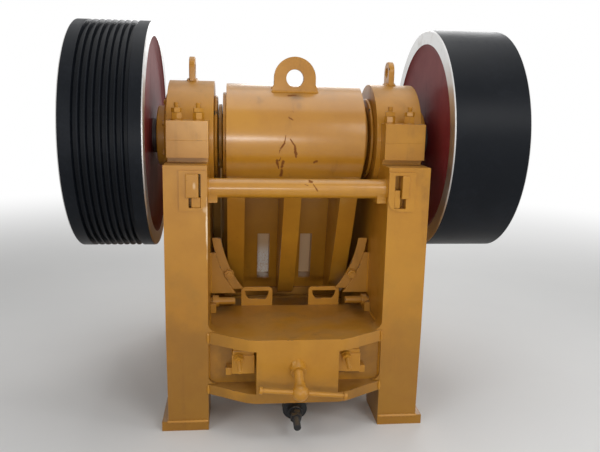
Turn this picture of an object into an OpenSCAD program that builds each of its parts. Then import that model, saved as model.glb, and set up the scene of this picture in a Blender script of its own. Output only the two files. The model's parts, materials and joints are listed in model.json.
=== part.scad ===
// Single-toggle jaw crusher with a 400 x 600 mm mouth.
// X runs along the eccentric shaft, Y from the rear beam to the front wall, Z up.
// The origin lies on the ground, in the middle of the four foot bolts.

/* [Frame] */
// Clear width between the two side walls
wall_gap = 700; // [690:5:760]
// Thickness of each side wall
wall_t = 50; // [40:2:60]
// Width of the rear and front posts, measured across the crusher
post_w = 165; // [140:5:190]
// Depth of each post from back to front
post_d = 72; // [64:2:84]
// Height of the side walls at the bearings
wall_h = 1080; // [1064:2:1096]
// Height of the side walls at the front
front_h = 1038; // [1010:2:1060]
// Length of the frame from the rear posts to the front posts
frame_len = 1300; // [1280:5:1360]
// Inward lean of the rear posts between the beam and the ground
leg_lean = 4; // [0:1:24]
// Height of the foot pads
foot_t = 40; // [30:1:50]
// Width of each foot pad
foot_w = 187; // [176:1:200]
// Length of each foot pad
foot_len = 220; // [190:5:250]
// Radius of the foot bolt holes
foot_hole_r = 17; // [12:1:22]
// Height of the arch between the front and rear feet
arch_h = 140; // [110:5:150]
// Thickness of the ribs outside the side walls
rib_t = 30; // [20:2:40]

/* [Rear beam] */
// Height of the top face of the beam
beam_top = 420; // [410:2:430]
// Height of the underside of the beam
beam_bottom = 158; // [154:1:176]
// Thickness of the top plate of the beam
beam_top_t = 48; // [40:2:56]
// Thickness of the bottom plate of the beam
beam_bottom_t = 40; // [32:2:48]
// How far the middle of the beam bulges behind the posts
bulge = 100; // [90:5:120]
// Width of the flat middle panel of the beam
panel_w = 322; // [280:2:360]
// Distance from the posts to the front face of the beam
shelf_len = 330; // [320:2:350]
// Thickness of the upright walls inside the beam
beam_wall_t = 46; // [36:2:56]

/* [Bearings] */
// Height of the shaft above the ground
axis_z = 1168; // [1162:1:1174]
// Distance of the shaft from the rear face of the posts
axis_y = 380; // [370:2:390]
// Outer radius of the bearing housings
housing_r = 232; // [216:2:240]
// Bore radius of the bearing housings
housing_bore_r = 150; // [140:2:160]
// How far each housing reaches in past its side wall
housing_lap = 20; // [16:1:22]
// Width of each housing
housing_w = 185; // [170:5:195]
// Height of the bolted ears of the caps
ear_h = 76; // [64:2:80]
// Height of the ears of the lower halves
base_ear_h = 66; // [60:2:72]
// Distance from the shaft to the end of the ears
ear_reach = 305; // [295:5:315]
// Thickness of the lifting eyes on the caps
eye_t = 24; // [16:2:30]
// Radius of the hole in each lifting eye
eye_hole_r = 20; // [14:1:24]
// Outer radius of each lifting eye
eye_r = 46; // [40:1:50]
// Height of the holes in the lifting eyes above the caps
eye_rise = 52; // [44:1:60]
// How far the bearing covers reach past the bores that they close
cover_lap = 22; // [14:1:24]

/* [Wheels] */
// Outer radius of both wheels
wheel_r = 466; // [430:2:480]
// Width of both rims
rim_w = 300; // [260:5:320]
// Radial thickness of both rims
rim_t = 58; // [48:2:70]
// Clearance between each housing and its wheel
wheel_gap = 59; // [50:1:80]
// Thickness of the wheel webs
web_t = 44; // [30:2:60]
// How far the web lies inside the edge of the rim
web_inset = 14; // [6:2:30]
// Outer radius of the wheel hubs
hub_r = 138; // [110:2:160]
// Number of belt grooves
groove_count = 8; // [4:1:10]
// Distance between belt grooves
groove_pitch = 25.5; // [23:0.5:28]
// Depth of a belt groove
groove_depth = 17; // [12:1:22]

/* [Shaft] */
// Radius of the shaft in the housings
journal_r = 72; // [64:1:80]
// Radius of the thrown middle of the shaft
throw_r = 96; // [90:1:100]
// Radial thickness of the bearings in the swing jaw
jaw_bearing_t = 52; // [44:1:56]
// Throw of the eccentric
throw = 12; // [8:1:14]
// Radial running clearance of journals in their bearings
running_gap = 0.06; // [0.03:0.01:0.09]
// Thickness of each cover and seal ring between the barrel and the housings
seal_t = 14; // [8:1:15]

/* [Swing jaw] */
// Outer radius of the barrel
barrel_r = 224; // [216:1:228]
// Room for the seals between each end of the barrel and its housing
barrel_gap = 50; // [46:1:60]
// Thickness of the cheek plates beside the crushing chamber
cheek_t = 38; // [28:1:42]
// Clearance between the swing jaw and the cheek plates
cheek_gap = 17; // [10:1:22]
// Lean of the swing jaw from the vertical
jaw_lean = 13; // [11:0.5:14]
// Lean of the fixed jaw from the vertical
fixed_lean = 10; // [8:0.5:12]
// Thickness of the jaw plates with their teeth
plate_t = 80; // [70:2:86]
// Height of the teeth
tooth_h = 26; // [18:1:32]
// Number of teeth on each jaw plate
tooth_count = 10; // [8:1:12]
// Distance from the top of the swing jaw plate up to the middle of the barrel
plate_drop = 190; // [184:2:220]
// How far the fixed jaw plate stands above the front wall
plate_rise = 17; // [0:1:30]
// Width of the gap at the bottom of the jaws
discharge_gap = 64; // [50:1:80]
// Thickness of the jaw body behind its plate
jaw_body_t = 62; // [50:2:70]
// Thickness of the outer ribs of the jaw body
jaw_rib_t = 74; // [60:2:80]
// Width of the two windows in the jaw body
window_w = 58; // [40:2:64]
// Height of the two windows in the jaw body
window_h = 243; // [180:1:250]
// Outer radius of the lifting lug on the barrel
lug_r = 86; // [76:1:94]
// Radius of the hole in the lifting lug
lug_hole_r = 36; // [28:1:40]
// Thickness of the lifting lug
lug_t = 30; // [20:2:36]

/* [Toggle] */
// Thickness of the toggle plate
toggle_t = 46; // [36:2:52]
// Width of the toggle plate
toggle_w = 520; // [440:10:540]
// Height of the toggle at the rear seat
toggle_rear_z = 296; // [290:1:304]
// Height of the toggle at the jaw
toggle_jaw_z = 344; // [336:1:352]
// Clearance between the toggle and the seat on the jaw
toggle_gap = 0.3; // [0.2:0.1:0.5]
// Thickness of each shim plate
shim_t = 12; // [8:1:16]
// Depth of the sliding block that carries the rear toggle seat
block_d = 62; // [54:2:70]

/* [Tension rod] */
// Radius of the tension rod
rod_r = 14; // [12:1:18]
// Fall of the rod from the jaw to the rear, in degrees
rod_fall = 9.2; // [9:0.1:9.6]
// Radius of the spring cup
cup_r = 50; // [48:1:52]
// Mean radius of the spring
spring_r = 38; // [36:0.5:38]
// Radius of the spring wire
spring_wire_r = 6; // [4:0.5:6]

/* [Rear fittings] */
// Outer radius of the tie tube between the posts
tie_r = 38; // [32:1:42]
// Height of the tie tube
tie_z = 990; // [966:2:994]
// Radius of the adjusting screw
screw_r = 19; // [16:1:21]
// Length of the handle on the adjusting screw
handle_len = 340; // [300:5:380]
// Turn of the handle out of the level, in degrees
handle_tilt = -8; // [-30:1:30]
// Width of each shim plate
shim_w = 140; // [110:2:150]
// Height of the shims above the beam
shim_rise = 85; // [64:1:96]
// Height of the slots in the posts
slot_h = 130; // [120:2:150]
// Width of the slots in the posts
slot_w = 46; // [42:1:50]
// Radius of the hollow edge of the gussets and of the curved bars above them
gusset_curve = 490; // [430:10:600]
// Width of the curved bars above the gussets
curved_bar_w = 40; // [28:1:44]

/* [Hidden] */
$fn = 64;
half_gap = wall_gap / 2;
post_out = half_gap + post_w;
foot_y = foot_len / 2;
origin_y = frame_len / 2;
bolt_x = half_gap + foot_w / 2;
saddle_clear = 0.3;
saddle_r = housing_r + saddle_clear;
saddle_t = 34;
top_flange_t = 40;
seat_past_housing = 130;
seat_len = axis_y + housing_r + seat_past_housing;
arch_run = 60;
rib_past_housing = 60;
post_fillet_r = 36;
ear_inset = [17, 7];
strip_w = 40;
strip_in = 66;
front_plate_t = 60;
front_rib_d = 110;
ledge_t = 40;
ledge_gap = 0.3;
cheek_drop = 28;
cheek_low = 197;
cheek_lap = 30;

// Along the shaft, from the middle of the crusher outwards
housing_in = half_gap - housing_lap;
housing_out = housing_in + housing_w;
barrel_end = housing_in - barrel_gap;
rim_in = housing_out + wheel_gap;
jaw_w = wall_gap - 2 * (cheek_t + cheek_gap);
tooth_pitch = jaw_w / tooth_count;
shaft_clear = 6;
hub_back = 42;
wheel_fillet = 30;
collar_t = 24;
collar_rim = 14;
outer_cover_t = 14;
cover_extra = 6;
cover_boss = 54;
cover_boss_t = 50;
jaw_cover_lap = 38;
bearing_w = 104;
bearing_out = 6;
jaw_bearing_w = 100;
bearing_in = 18;
ring_gap = (barrel_gap - 3 * seal_t) / 2;
throw_y = axis_y - throw;
jaw_bore_r = throw_r + jaw_bearing_t;
seal_ring_r = journal_r + 64;
lug_back = 100;
lug_rise = 24;
lug_flare = [12, 34];

// Rear beam: the slanted shoulders beside its panel, and its pockets
shoulder_w = 40;
shoulder_out = bulge * 0.9;
pocket_depth = 20;

// Raised pads, slots and keys at the tops of the rear posts
pad_t = 8;
pad_r = 45;
pad_side = 36;
pad_below = 12;
pad_above = 18;
slot_in = 24;
slot_low = tie_z - slot_h / 2 - 5;
slot_depth = 46;
left_head_in = 32;
right_head_in = 51;
right_plain_w = 24;
right_plain_rise = 32;
key_head = 10;
key_h = 90;
key_step = 3;
tie_y = 52;
tie_foot = [38, 60, 17];
tie_wall = 6;

// Swing jaw: the tip line of the teeth starts at the bottom of the plate
fixed_tip_y = 935;
tip_z = 248;
swing_tip_y = fixed_tip_y - discharge_gap;
body_front = -plate_t;
body_back = -plate_t - jaw_body_t;
barrel_up = (axis_z - tip_z) * cos(jaw_lean) - (throw_y - swing_tip_y) * sin(jaw_lean);
swing_plate_len = barrel_up - plate_drop;
fixed_plate_len = (front_h + plate_rise - tip_z) / cos(fixed_lean);
rib_inset = 18;
wedge_in = 30;
window_x = 104;
window_low = 240;

// Toggle, seats and shims, from the front face of the beam
shim_y = shelf_len;
block_y = shim_y + shim_t;
nose_r = toggle_t / 2;
toggle_rear_y = block_y + block_d + nose_r - 8;
toggle_jaw_y = 650;
toggle_len = norm([toggle_jaw_y - toggle_rear_y, toggle_jaw_z - toggle_rear_z]);
toggle_rise = atan2(toggle_jaw_z - toggle_rear_z, toggle_jaw_y - toggle_rear_y);
pad_y = toggle_jaw_y + nose_r + toggle_gap;
pad_d = 26;
pad_rise = 56;
pad_over = 10;
block_over = [30, 72];
ledge_len = block_y + block_d + 8;
left_shim_x = -146;
right_shim_x = 156;
shim_edge = 18;

// Tension rod, from the lug at the foot of the jaw back under the beam
rod_pin_y = 722;
rod_pin_z = 206;
pin_r = 14;
bracket_y = 130;
bracket_t = 34;
rod_channel = 140;
channel_clear = 16;
rod_eye_r = 34;
rod_eye_half = 20;
rod_eye_room = 6;
cup_floor = 12;
cup_neck = [24, 30];
cup_lip = [26, 6];
bracket_half = 80;
bracket_hang = 60;
bracket_h = 220;
cup_y = -2;
rod_end_y = -130;

// Adjusting screw and its handle
screw_boss = 22;
boss_in = 20;
boss_wall = 13;
screw_in = 70;
screw_clear = 0.3;
screw_head_r = 31;
screw_head_h = 48;
screw_dip = 28;
screw_rise = 148;
handle_at = 118;
handle_r = 9;
handle_clear = 0.1;
handle_knob = [14, 5];
handle_slide = 12;

// Fittings in the corners above the beam and in its pockets
gusset_low = beam_top + 65;
gusset_h = 184;
gusset_w = 112;
gusset_top = 22;
gusset_t = 14;
curved_bar_rise = 47;
bar_z = beam_top + 42;
bar_r = 16;
bar_len = 108;
bar_collar = [10, 26, 9];
pocket_block = [90, 68, 78];
pocket_tab = [24, 50, 30];
pocket_tab_drop = 12;
pocket_gap = 6;
pocket_rise = 64;
stop_w = 26;
stop_len = 88;

module placed() {
    translate([0, -origin_y, 0]) children();
}

// A profile in Y and Z, from x0 to x1
module yz(x0, x1) {
    translate([x0, 0, 0]) rotate([90, 0, 90]) linear_extrude(x1 - x0) children();
}

// A profile in X and Z, from y0 to y1
module xz(y0, y1) {
    translate([0, y1, 0]) rotate([90, 0, 0]) linear_extrude(y1 - y0) children();
}

module both_sides() {
    children();
    mirror([1, 0, 0]) children();
}

// A disc or tube along X, centred on the shaft or on its throw
module across(x0, x1, r, y = axis_y, z = axis_z) {
    translate([x0, y, z]) rotate([0, 90, 0]) cylinder(h = x1 - x0, r = r);
}

// The frame of the swing jaw plate: z runs up along the tips of its teeth
module swing_frame() {
    translate([0, swing_tip_y, tip_z]) rotate([jaw_lean, 0, 0]) children();
}

module fixed_frame() {
    translate([0, fixed_tip_y, tip_z]) rotate([-fixed_lean, 0, 0]) children();
}

// Side walls

module wall_profile() {
    difference() {
        polygon([
            [0, 0], [0, wall_h], [seat_len, wall_h], [frame_len - post_d, front_h],
            [frame_len, front_h], [frame_len, 0], [frame_len - foot_len, 0],
            [frame_len - foot_len - arch_run, arch_h], [foot_len + arch_run, arch_h], [foot_len, 0]
        ]);
        translate([axis_y, axis_z]) circle(saddle_r + saddle_t / 2);
    }
}

module post_profile(inner) {
    polygon([
        [inner, foot_t], [inner, wall_h], [post_out, wall_h], [post_out, beam_top],
        [post_out - leg_lean, foot_t], [half_gap, foot_t]
    ]);
}

module side_wall() {
    saddle_x = half_gap + wall_t;
    difference() {
        union() {
            yz(half_gap, saddle_x) wall_profile();
            // Rear and front posts
            xz(0, post_d) post_profile(half_gap);
            xz(frame_len - post_d, frame_len) intersection() {
                post_profile(half_gap);
                square([2 * post_out, front_h]);
            }
            // Foot pads, flared past the posts
            for (y = [0, frame_len - foot_len])
                translate([half_gap, y, 0]) cube([foot_w, foot_len, foot_t]);
            // Seat that carries the bearing housing
            yz(half_gap, post_out) difference() {
                union() {
                    translate([0, wall_h - top_flange_t]) square([seat_len, top_flange_t]);
                    intersection() {
                        translate([axis_y, axis_z]) circle(saddle_r + saddle_t);
                        square([frame_len, wall_h]);
                    }
                }
                translate([axis_y, axis_z]) circle(saddle_r);
            }
            // Outside ribs
            yz(half_gap, post_out - rib_t) {
                translate([post_d, beam_top - rib_t]) square([frame_len - 2 * post_d, rib_t]);
                translate([axis_y - rib_t / 2, arch_h])
                    square([rib_t, axis_z - saddle_r - saddle_t / 2 - arch_h]);
                translate([axis_y + housing_r + rib_past_housing, arch_h])
                    square([rib_t, wall_h - arch_h - top_flange_t / 2]);
            }
            // Raised pad round the slot, and the rounded corner above the beam
            xz(-pad_t, 0) slot_pad();
            xz(0, post_d) difference() {
                translate([half_gap - post_fillet_r, beam_top]) square([post_fillet_r + 1, post_fillet_r]);
                translate([half_gap - post_fillet_r, beam_top + post_fillet_r]) circle(post_fillet_r);
            }
        }
        // Slot for the keys
        translate([half_gap + slot_in, -pad_t - 1, slot_low]) cube([slot_w, pad_t + slot_depth, slot_h]);
        for (y = [foot_y, frame_len - foot_y])
            translate([bolt_x, y, -1]) cylinder(h = foot_t + 2, r = foot_hole_r);
    }
}

module slot_pad() {
    low = slot_low - pad_below;
    difference() {
        translate([half_gap, low]) square([slot_in + slot_w + pad_side, wall_h - pad_above - low]);
        translate([half_gap, low]) difference() {
            square(pad_r);
            translate([pad_r, pad_r]) circle(pad_r);
        }
    }
}

// A headed key against the outer end of the slot, and a plain key at its inner end
module slot_key_pair(head_in, plain_w, plain_rise) {
    slot_end = half_gap + slot_in + slot_w;
    head_low = slot_low + slot_h - key_h;
    translate([half_gap + head_in, -pad_t, head_low])
        cube([slot_end - half_gap - head_in, slot_depth, key_h]);
    translate([half_gap + head_in, -pad_t - key_head, head_low])
        cube([slot_end + key_head - half_gap - head_in, key_head, key_h]);
    translate([half_gap + slot_in, -pad_t + key_step, slot_low])
        cube([plain_w, slot_depth - key_step, head_low + plain_rise - slot_low]);
}

module slot_keys() {
    color("goldenrod") placed() {
        mirror([1, 0, 0]) slot_key_pair(left_head_in, slot_w - key_head, 0);
        slot_key_pair(right_head_in, right_plain_w, right_plain_rise);
    }
}

module left_side_wall() {
    color("goldenrod") placed() mirror([1, 0, 0]) side_wall();
}

module right_side_wall() {
    color("goldenrod") placed() side_wall();
}

// The tube rests on a bracket at each post and is welded between the walls
module tie_tube() {
    color("goldenrod") placed() translate([0, tie_y, 0]) difference() {
        union() {
            across(-half_gap, half_gap, tie_r, 0, tie_z);
            both_sides() translate([half_gap - tie_foot[0], -tie_foot[1] / 2, tie_z - tie_r - tie_foot[2]])
                cube([tie_foot[0], tie_foot[1], tie_r + tie_foot[2]]);
        }
        across(-half_gap - 1, half_gap + 1, tie_r - tie_wall, 0, tie_z);
    }
}

// Rear beam

module beam_plan() {
    shoulder_x = panel_w / 2 + shoulder_w;
    polygon([
        [-half_gap, shelf_len], [-half_gap, 0], [-shoulder_x, -shoulder_out], [-panel_w / 2, -bulge],
        [panel_w / 2, -bulge], [shoulder_x, -shoulder_out], [half_gap, 0], [half_gap, shelf_len]
    ]);
}

module rear_beam() {
    inside_h = beam_top - beam_bottom;
    color("goldenrod") placed() difference() {
        union() {
            translate([0, 0, beam_top - beam_top_t]) linear_extrude(beam_top_t) beam_plan();
            translate([0, 0, beam_bottom]) linear_extrude(beam_bottom_t) {
                beam_plan();
                // Ledge under the sliding block
                translate([-half_gap, shelf_len - 1]) square([wall_gap, ledge_len - shelf_len + 1]);
            }
            translate([0, 0, beam_bottom]) linear_extrude(inside_h) {
                // Middle panel, its two side ribs and the upright walls
                translate([-panel_w / 2, -bulge]) square([panel_w, beam_wall_t]);
                for (s = [-1, 1])
                    translate([s * (panel_w - beam_wall_t) / 2 - beam_wall_t / 2, -bulge])
                        square([beam_wall_t, bulge + shelf_len]);
                translate([-half_gap, pocket_depth]) square([wall_gap, beam_wall_t]);
                translate([-half_gap, shelf_len - beam_wall_t]) square([wall_gap, beam_wall_t]);
            }
            // Boss of the adjusting screw
            screw_frame() translate([0, 0, -boss_in])
                cylinder(h = boss_in + screw_boss, r = screw_r + boss_wall);
        }
        screw_frame() translate([0, 0, -screw_in - 20]) cylinder(h = screw_in + 50, r = screw_r + screw_clear);
        // Channel for the tension rod under the middle of the beam
        translate([-rod_r - channel_clear, shelf_len - rod_channel, beam_bottom - 1])
            cube([2 * (rod_r + channel_clear), ledge_len - shelf_len + rod_channel + 1, beam_bottom_t + 2]);
    }
}

// Front wall, held between the side walls

module front_wall() {
    rib_y = plate_t + front_plate_t;
    color("goldenrod") placed() intersection() {
        fixed_frame() {
            translate([-half_gap, plate_t, -70]) cube([wall_gap, front_plate_t, fixed_plate_len + 90]);
            // Ledge that the fixed plate stands on
            translate([-half_gap, tooth_h + 6, -ledge_t])
                cube([wall_gap, plate_t - tooth_h, ledge_t - ledge_gap]);
            // Grid of ribs on the outside
            for (i = [0 : 2])
                translate([-half_gap, rib_y, 40 + i * (front_h - tip_z) / 3])
                    cube([wall_gap, front_rib_d, rib_t]);
            for (x = [-wall_gap / 3, 0, wall_gap / 3])
                translate([x - rib_t / 2, rib_y, -30]) cube([rib_t, front_rib_d, fixed_plate_len + 20]);
        }
        translate([-half_gap, 0, 0]) cube([wall_gap, frame_len, front_h]);
    }
}

// Wear plates

function tooth_row(n, pitch, h) = [
    for (i = [0 : n - 1]) let (x = (i - n / 2) * pitch)
        each [[x, -h], [x + pitch * 0.28, 0], [x + pitch * 0.72, 0]],
    [n / 2 * pitch, -h]
];

module toothed_plate(len) {
    half = jaw_w / 2;
    teeth = tooth_row(tooth_count, tooth_pitch, tooth_h);
    linear_extrude(len) polygon(concat([[-half, -plate_t]], teeth, [[half, -plate_t]]));
}

module fixed_jaw_plate() {
    color("silver") placed() fixed_frame() mirror([0, 1, 0]) toothed_plate(fixed_plate_len);
}

module swing_jaw_plate() {
    color("silver") placed() swing_frame() toothed_plate(swing_plate_len);
}

module cheek_plate() {
    rise = front_h - tip_z - cheek_drop;
    yz(half_gap - cheek_t, half_gap) polygon([
        [swing_tip_y - cheek_low * tan(jaw_lean) - cheek_lap, tip_z + cheek_low],
        [swing_tip_y - rise * tan(jaw_lean) - cheek_lap, tip_z + rise],
        [fixed_tip_y + rise * tan(fixed_lean), tip_z + rise],
        [fixed_tip_y + cheek_low * tan(fixed_lean), tip_z + cheek_low]
    ]);
}

module left_cheek_plate() {
    color("silver") placed() mirror([1, 0, 0]) cheek_plate();
}

module right_cheek_plate() {
    color("silver") placed() cheek_plate();
}

// Bearing housings, split at the height of the shaft

module housing_half(upper) {
    x0 = housing_in;
    x1 = housing_out;
    difference() {
        union() {
            intersection() {
                across(x0, x1, housing_r);
                translate([x0 - 1, 0, upper ? axis_z : 0]) cube([housing_w + 2, 2 * axis_y, axis_z]);
            }
            translate([x0 + ear_inset[0], axis_y - ear_reach, upper ? axis_z : axis_z - base_ear_h])
                cube([housing_w - ear_inset[0] - ear_inset[1], 2 * ear_reach, upper ? ear_h : base_ear_h]);
            // Seat strips of the lower half, on top of the side wall
            if (!upper) for (s = [-1, 1])
                translate([half_gap, axis_y + s * (ear_reach - strip_in) - strip_w / 2, wall_h])
                    cube([housing_out - half_gap - ear_inset[1], strip_w, axis_z - base_ear_h - wall_h + 1]);
        }
        across(x0 - 1, x1 + 1, housing_bore_r);
    }
}

module left_bearing_base() {
    color("goldenrod") placed() mirror([1, 0, 0]) housing_half(false);
}

module right_bearing_base() {
    color("goldenrod") placed() housing_half(false);
}

module left_bearing_cap() {
    color("goldenrod") placed() mirror([1, 0, 0]) housing_half(true);
}

module right_bearing_cap() {
    color("goldenrod") placed() housing_half(true);
}

module cap_eyes() {
    x = housing_in + housing_w / 2;
    eye_z = axis_z + housing_r + eye_rise;
    color("goldenrod") placed() both_sides() yz(x - eye_t / 2, x + eye_t / 2) difference() {
        union() {
            translate([axis_y, eye_z]) circle(eye_r);
            translate([axis_y - eye_r, axis_z + housing_r - 5]) square([2 * eye_r, eye_rise + 5]);
        }
        translate([axis_y, eye_z]) circle(eye_hole_r);
        translate([axis_y, axis_z]) circle(housing_r);
    }
}

module main_bearings() {
    half = bearing_w / 2;
    x = housing_in + housing_w / 2 + bearing_out;
    color("silver") placed() both_sides() difference() {
        across(x - half, x + half, housing_bore_r);
        across(x - half - 1, x + half + 1, journal_r + running_gap);
    }
}

module inner_covers() {
    color("goldenrod") placed() both_sides() difference() {
        across(housing_in - seal_t, housing_in, housing_bore_r + cover_lap);
        across(housing_in - seal_t - 1, housing_in + 1, journal_r + shaft_clear);
    }
}

module outer_covers() {
    color("goldenrod") placed() both_sides() difference() {
        union() {
            across(housing_out, housing_out + outer_cover_t, housing_bore_r + cover_lap + cover_extra);
            across(housing_out, housing_out + cover_boss_t, journal_r + cover_boss);
        }
        across(housing_out - 1, housing_out + cover_boss_t + 1, journal_r + shaft_clear);
    }
}

// Shaft and wheels

module eccentric_shaft() {
    reach = rim_in + rim_w - hub_back + 2;
    color("dimgray") placed() {
        across(-barrel_end - seal_t, barrel_end + seal_t, throw_r, throw_y);
        both_sides() {
            across(barrel_end + seal_t, reach, journal_r);
            across(reach, reach + collar_t, journal_r + collar_rim);
        }
    }
}

module throw_rings() {
    x = barrel_end + seal_t + ring_gap;
    color("dimgray") placed() both_sides() difference() {
        across(x, x + seal_t, seal_ring_r);
        across(x - 1, x + seal_t + 1, journal_r);
    }
}

// Section of a wheel, along the shaft in its first coordinate; the web lies near the inner edge
module wheel_section(grooves) {
    rim_inner_r = wheel_r - rim_t;
    groove_start = rim_w / 2 - groove_count * groove_pitch / 2;
    groove_top = groove_pitch * 0.41;
    groove_floor = groove_pitch * 0.24;
    polygon(concat(
        [[web_inset, journal_r], [web_inset, rim_inner_r - wheel_fillet], [0, rim_inner_r], [0, wheel_r]],
        grooves ? [
            for (i = [0 : groove_count - 1]) let (x = groove_start + (i + 0.5) * groove_pitch)
                each [[x - groove_top, wheel_r], [x - groove_floor, wheel_r - groove_depth],
                      [x + groove_floor, wheel_r - groove_depth], [x + groove_top, wheel_r]]
        ] : [],
        [[rim_w, wheel_r], [rim_w, rim_inner_r], [web_inset + web_t + wheel_fillet, rim_inner_r],
         [web_inset + web_t, rim_inner_r - wheel_fillet], [web_inset + web_t, hub_r + wheel_fillet],
         [web_inset + web_t + wheel_fillet, hub_r], [rim_w - hub_back, hub_r], [rim_w - hub_back, journal_r]]
    ));
}

// rotate_extrude turns the section's radius about Z, and the turn lays that axis along X
module wheel(grooves) {
    translate([rim_in, axis_y, axis_z]) rotate([0, 90, 0])
        rotate_extrude($fn = 96) rotate([0, 0, 90]) mirror([0, 1]) wheel_section(grooves);
}

module flywheel() {
    color("maroon") placed() wheel(false);
}

module belt_sheave() {
    color("maroon") placed() mirror([1, 0, 0]) wheel(true);
}

// Swing jaw

// Rear outline of a rib; its front is cut off along the back of the plate
module jaw_rib_profile() {
    polygon([
        [throw_y - 168, axis_z - 145], [throw_y - 28, axis_z - 430], [throw_y + 112, axis_z - 662],
        [throw_y + 177, axis_z - 742], [throw_y + 232, axis_z - 770],
        [pad_y + pad_d, toggle_jaw_z + 62], [pad_y + pad_d, toggle_jaw_z - 62],
        [rod_pin_y - 34, rod_pin_z], [rod_pin_y - 20, rod_pin_z - 34],
        [swing_tip_y, rod_pin_z - 34], [swing_tip_y, tip_z + 60],
        [throw_y + 200, axis_z - 40], [throw_y + 100, axis_z]
    ]);
}

module swing_jaw() {
    half = jaw_w / 2;
    color("goldenrod") placed() difference() {
        union() {
            across(-barrel_end, barrel_end, barrel_r, throw_y);
            intersection() {
                union() {
                    for (x = [-half + rib_inset, -jaw_rib_t / 2, half - rib_inset - jaw_rib_t])
                        yz(x, x + jaw_rib_t) jaw_rib_profile();
                    swing_frame() translate([-half, body_back, -30])
                        cube([jaw_w, jaw_body_t, swing_plate_len + 90]);
                    // Cross rib that carries the toggle seat
                    yz(-half, half) polygon([
                        [pad_y + pad_d, toggle_jaw_z - 62], [pad_y + pad_d, toggle_jaw_z + 62],
                        [swing_tip_y - 100, toggle_jaw_z + 110], [swing_tip_y, toggle_jaw_z + 110],
                        [swing_tip_y, toggle_jaw_z - 90]
                    ]);
                }
                swing_frame() translate([-half, body_front - 900, -300]) cube([jaw_w, 900, 1400]);
            }
            // Ledge under the swing plate
            swing_frame() translate([-half, body_front - 1, -ledge_t]) cube([jaw_w, 40, ledge_t - ledge_gap]);
        }
        across(-2 * barrel_end, 2 * barrel_end, jaw_bore_r, throw_y);
        toggle_pad_block();
        // Windows through the body between the ribs
        for (s = [-1, 1])
            swing_frame() translate([s * window_x - window_w / 2, body_back - 60, window_low])
                cube([window_w, jaw_body_t + 61, window_h]);
        // Pin hole of the tension rod, in the middle rib
        translate([-rod_eye_half - 2, rod_pin_y - 60, rod_pin_z - rod_eye_r - rod_eye_room])
            cube([2 * rod_eye_half + 4, 60 + rod_eye_r + 8, 2 * (rod_eye_r + rod_eye_room)]);
        across(-jaw_rib_t, jaw_rib_t, pin_r + running_gap, rod_pin_y, rod_pin_z);
    }
}

module jaw_wedge() {
    half = jaw_w / 2 - wedge_in;
    color("goldenrod") placed() swing_frame() yz(-half, half)
        polygon([
            [body_front + 0.3, swing_plate_len + 1], [-tooth_h - 6, swing_plate_len + 1],
            [-tooth_h - 22, swing_plate_len + 52], [body_front + 0.3, swing_plate_len + 62]
        ]);
}

module lifting_lug() {
    lug_y = throw_y - lug_back;
    hole_z = axis_z + barrel_r + lug_rise;
    seat_z = axis_z + sqrt(pow(barrel_r, 2) - pow(lug_back + lug_t / 2, 2)) - 2;
    foot = lug_r + lug_flare[0];
    color("goldenrod") placed() difference() {
        xz(lug_y - lug_t / 2, lug_y + lug_t / 2) difference() {
            union() {
                translate([0, hole_z]) circle(lug_r);
                translate([-lug_r, seat_z]) square([2 * lug_r, hole_z - seat_z]);
                polygon([[-foot, seat_z], [-lug_r, seat_z + lug_flare[1]],
                         [lug_r, seat_z + lug_flare[1]], [foot, seat_z]]);
            }
            translate([0, hole_z]) circle(lug_hole_r);
        }
        across(-barrel_end, barrel_end, barrel_r, throw_y);
    }
}

module jaw_covers() {
    color("goldenrod") placed() both_sides() difference() {
        across(barrel_end, barrel_end + seal_t, jaw_bore_r + jaw_cover_lap, throw_y);
        across(barrel_end - 1, barrel_end + seal_t + 1, throw_r + shaft_clear, throw_y);
    }
}

module jaw_bearings() {
    color("silver") placed() both_sides() difference() {
        across(barrel_end - bearing_in - jaw_bearing_w, barrel_end - bearing_in, jaw_bore_r, throw_y);
        across(barrel_end - bearing_in - jaw_bearing_w - 1, barrel_end - bearing_in + 1,
               throw_r + running_gap, throw_y);
    }
}

// Toggle plate and its seats

module toggle_plate() {
    color("silver") placed() translate([0, toggle_rear_y, toggle_rear_z]) rotate([toggle_rise, 0, 0])
        yz(-toggle_w / 2, toggle_w / 2) {
            circle(nose_r);
            translate([toggle_len, 0]) circle(nose_r);
            translate([0, -nose_r * 0.72]) square([toggle_len, nose_r * 1.44]);
        }
}

module toggle_block() {
    color("goldenrod") placed() difference() {
        translate([-toggle_w / 2 - block_over[0], block_y, beam_bottom + beam_bottom_t])
            cube([toggle_w + 2 * block_over[0], block_d,
                  toggle_rear_z + block_over[1] - beam_bottom - beam_bottom_t]);
        across(-half_gap, half_gap, nose_r + toggle_gap, toggle_rear_y, toggle_rear_z);
    }
}

module toggle_pad_block() {
    translate([-toggle_w / 2 - pad_over, pad_y, toggle_jaw_z - pad_rise])
        cube([toggle_w + 2 * pad_over, pad_d, 2 * pad_rise]);
}

module toggle_pad() {
    color("silver") placed() toggle_pad_block();
}

module shim_plate(x) {
    foot_z = beam_bottom + beam_bottom_t;
    top_z = beam_top + shim_rise;
    half = shim_w / 2;
    grip = half - shim_edge;
    color("goldenrod") placed() xz(shim_y, shim_y + shim_t) difference() {
        union() {
            translate([x - half, foot_z]) square([shim_w, top_z - foot_z - shim_edge]);
            translate([x - half + shim_edge, foot_z]) square([shim_w - 2 * shim_edge, top_z - foot_z]);
            for (s = [-1, 1]) translate([x + s * (half - shim_edge), top_z - shim_edge]) circle(shim_edge);
        }
        // Hand slot with a flat top and a round bottom
        intersection() {
            translate([x, top_z - shim_edge]) circle(grip);
            translate([x - grip, top_z - shim_edge - 36]) square([2 * grip, 36]);
        }
    }
}

module left_shim() {
    shim_plate(left_shim_x);
}

module right_shim() {
    shim_plate(right_shim_x);
}

// Tension rod, its spring and its cup

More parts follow.
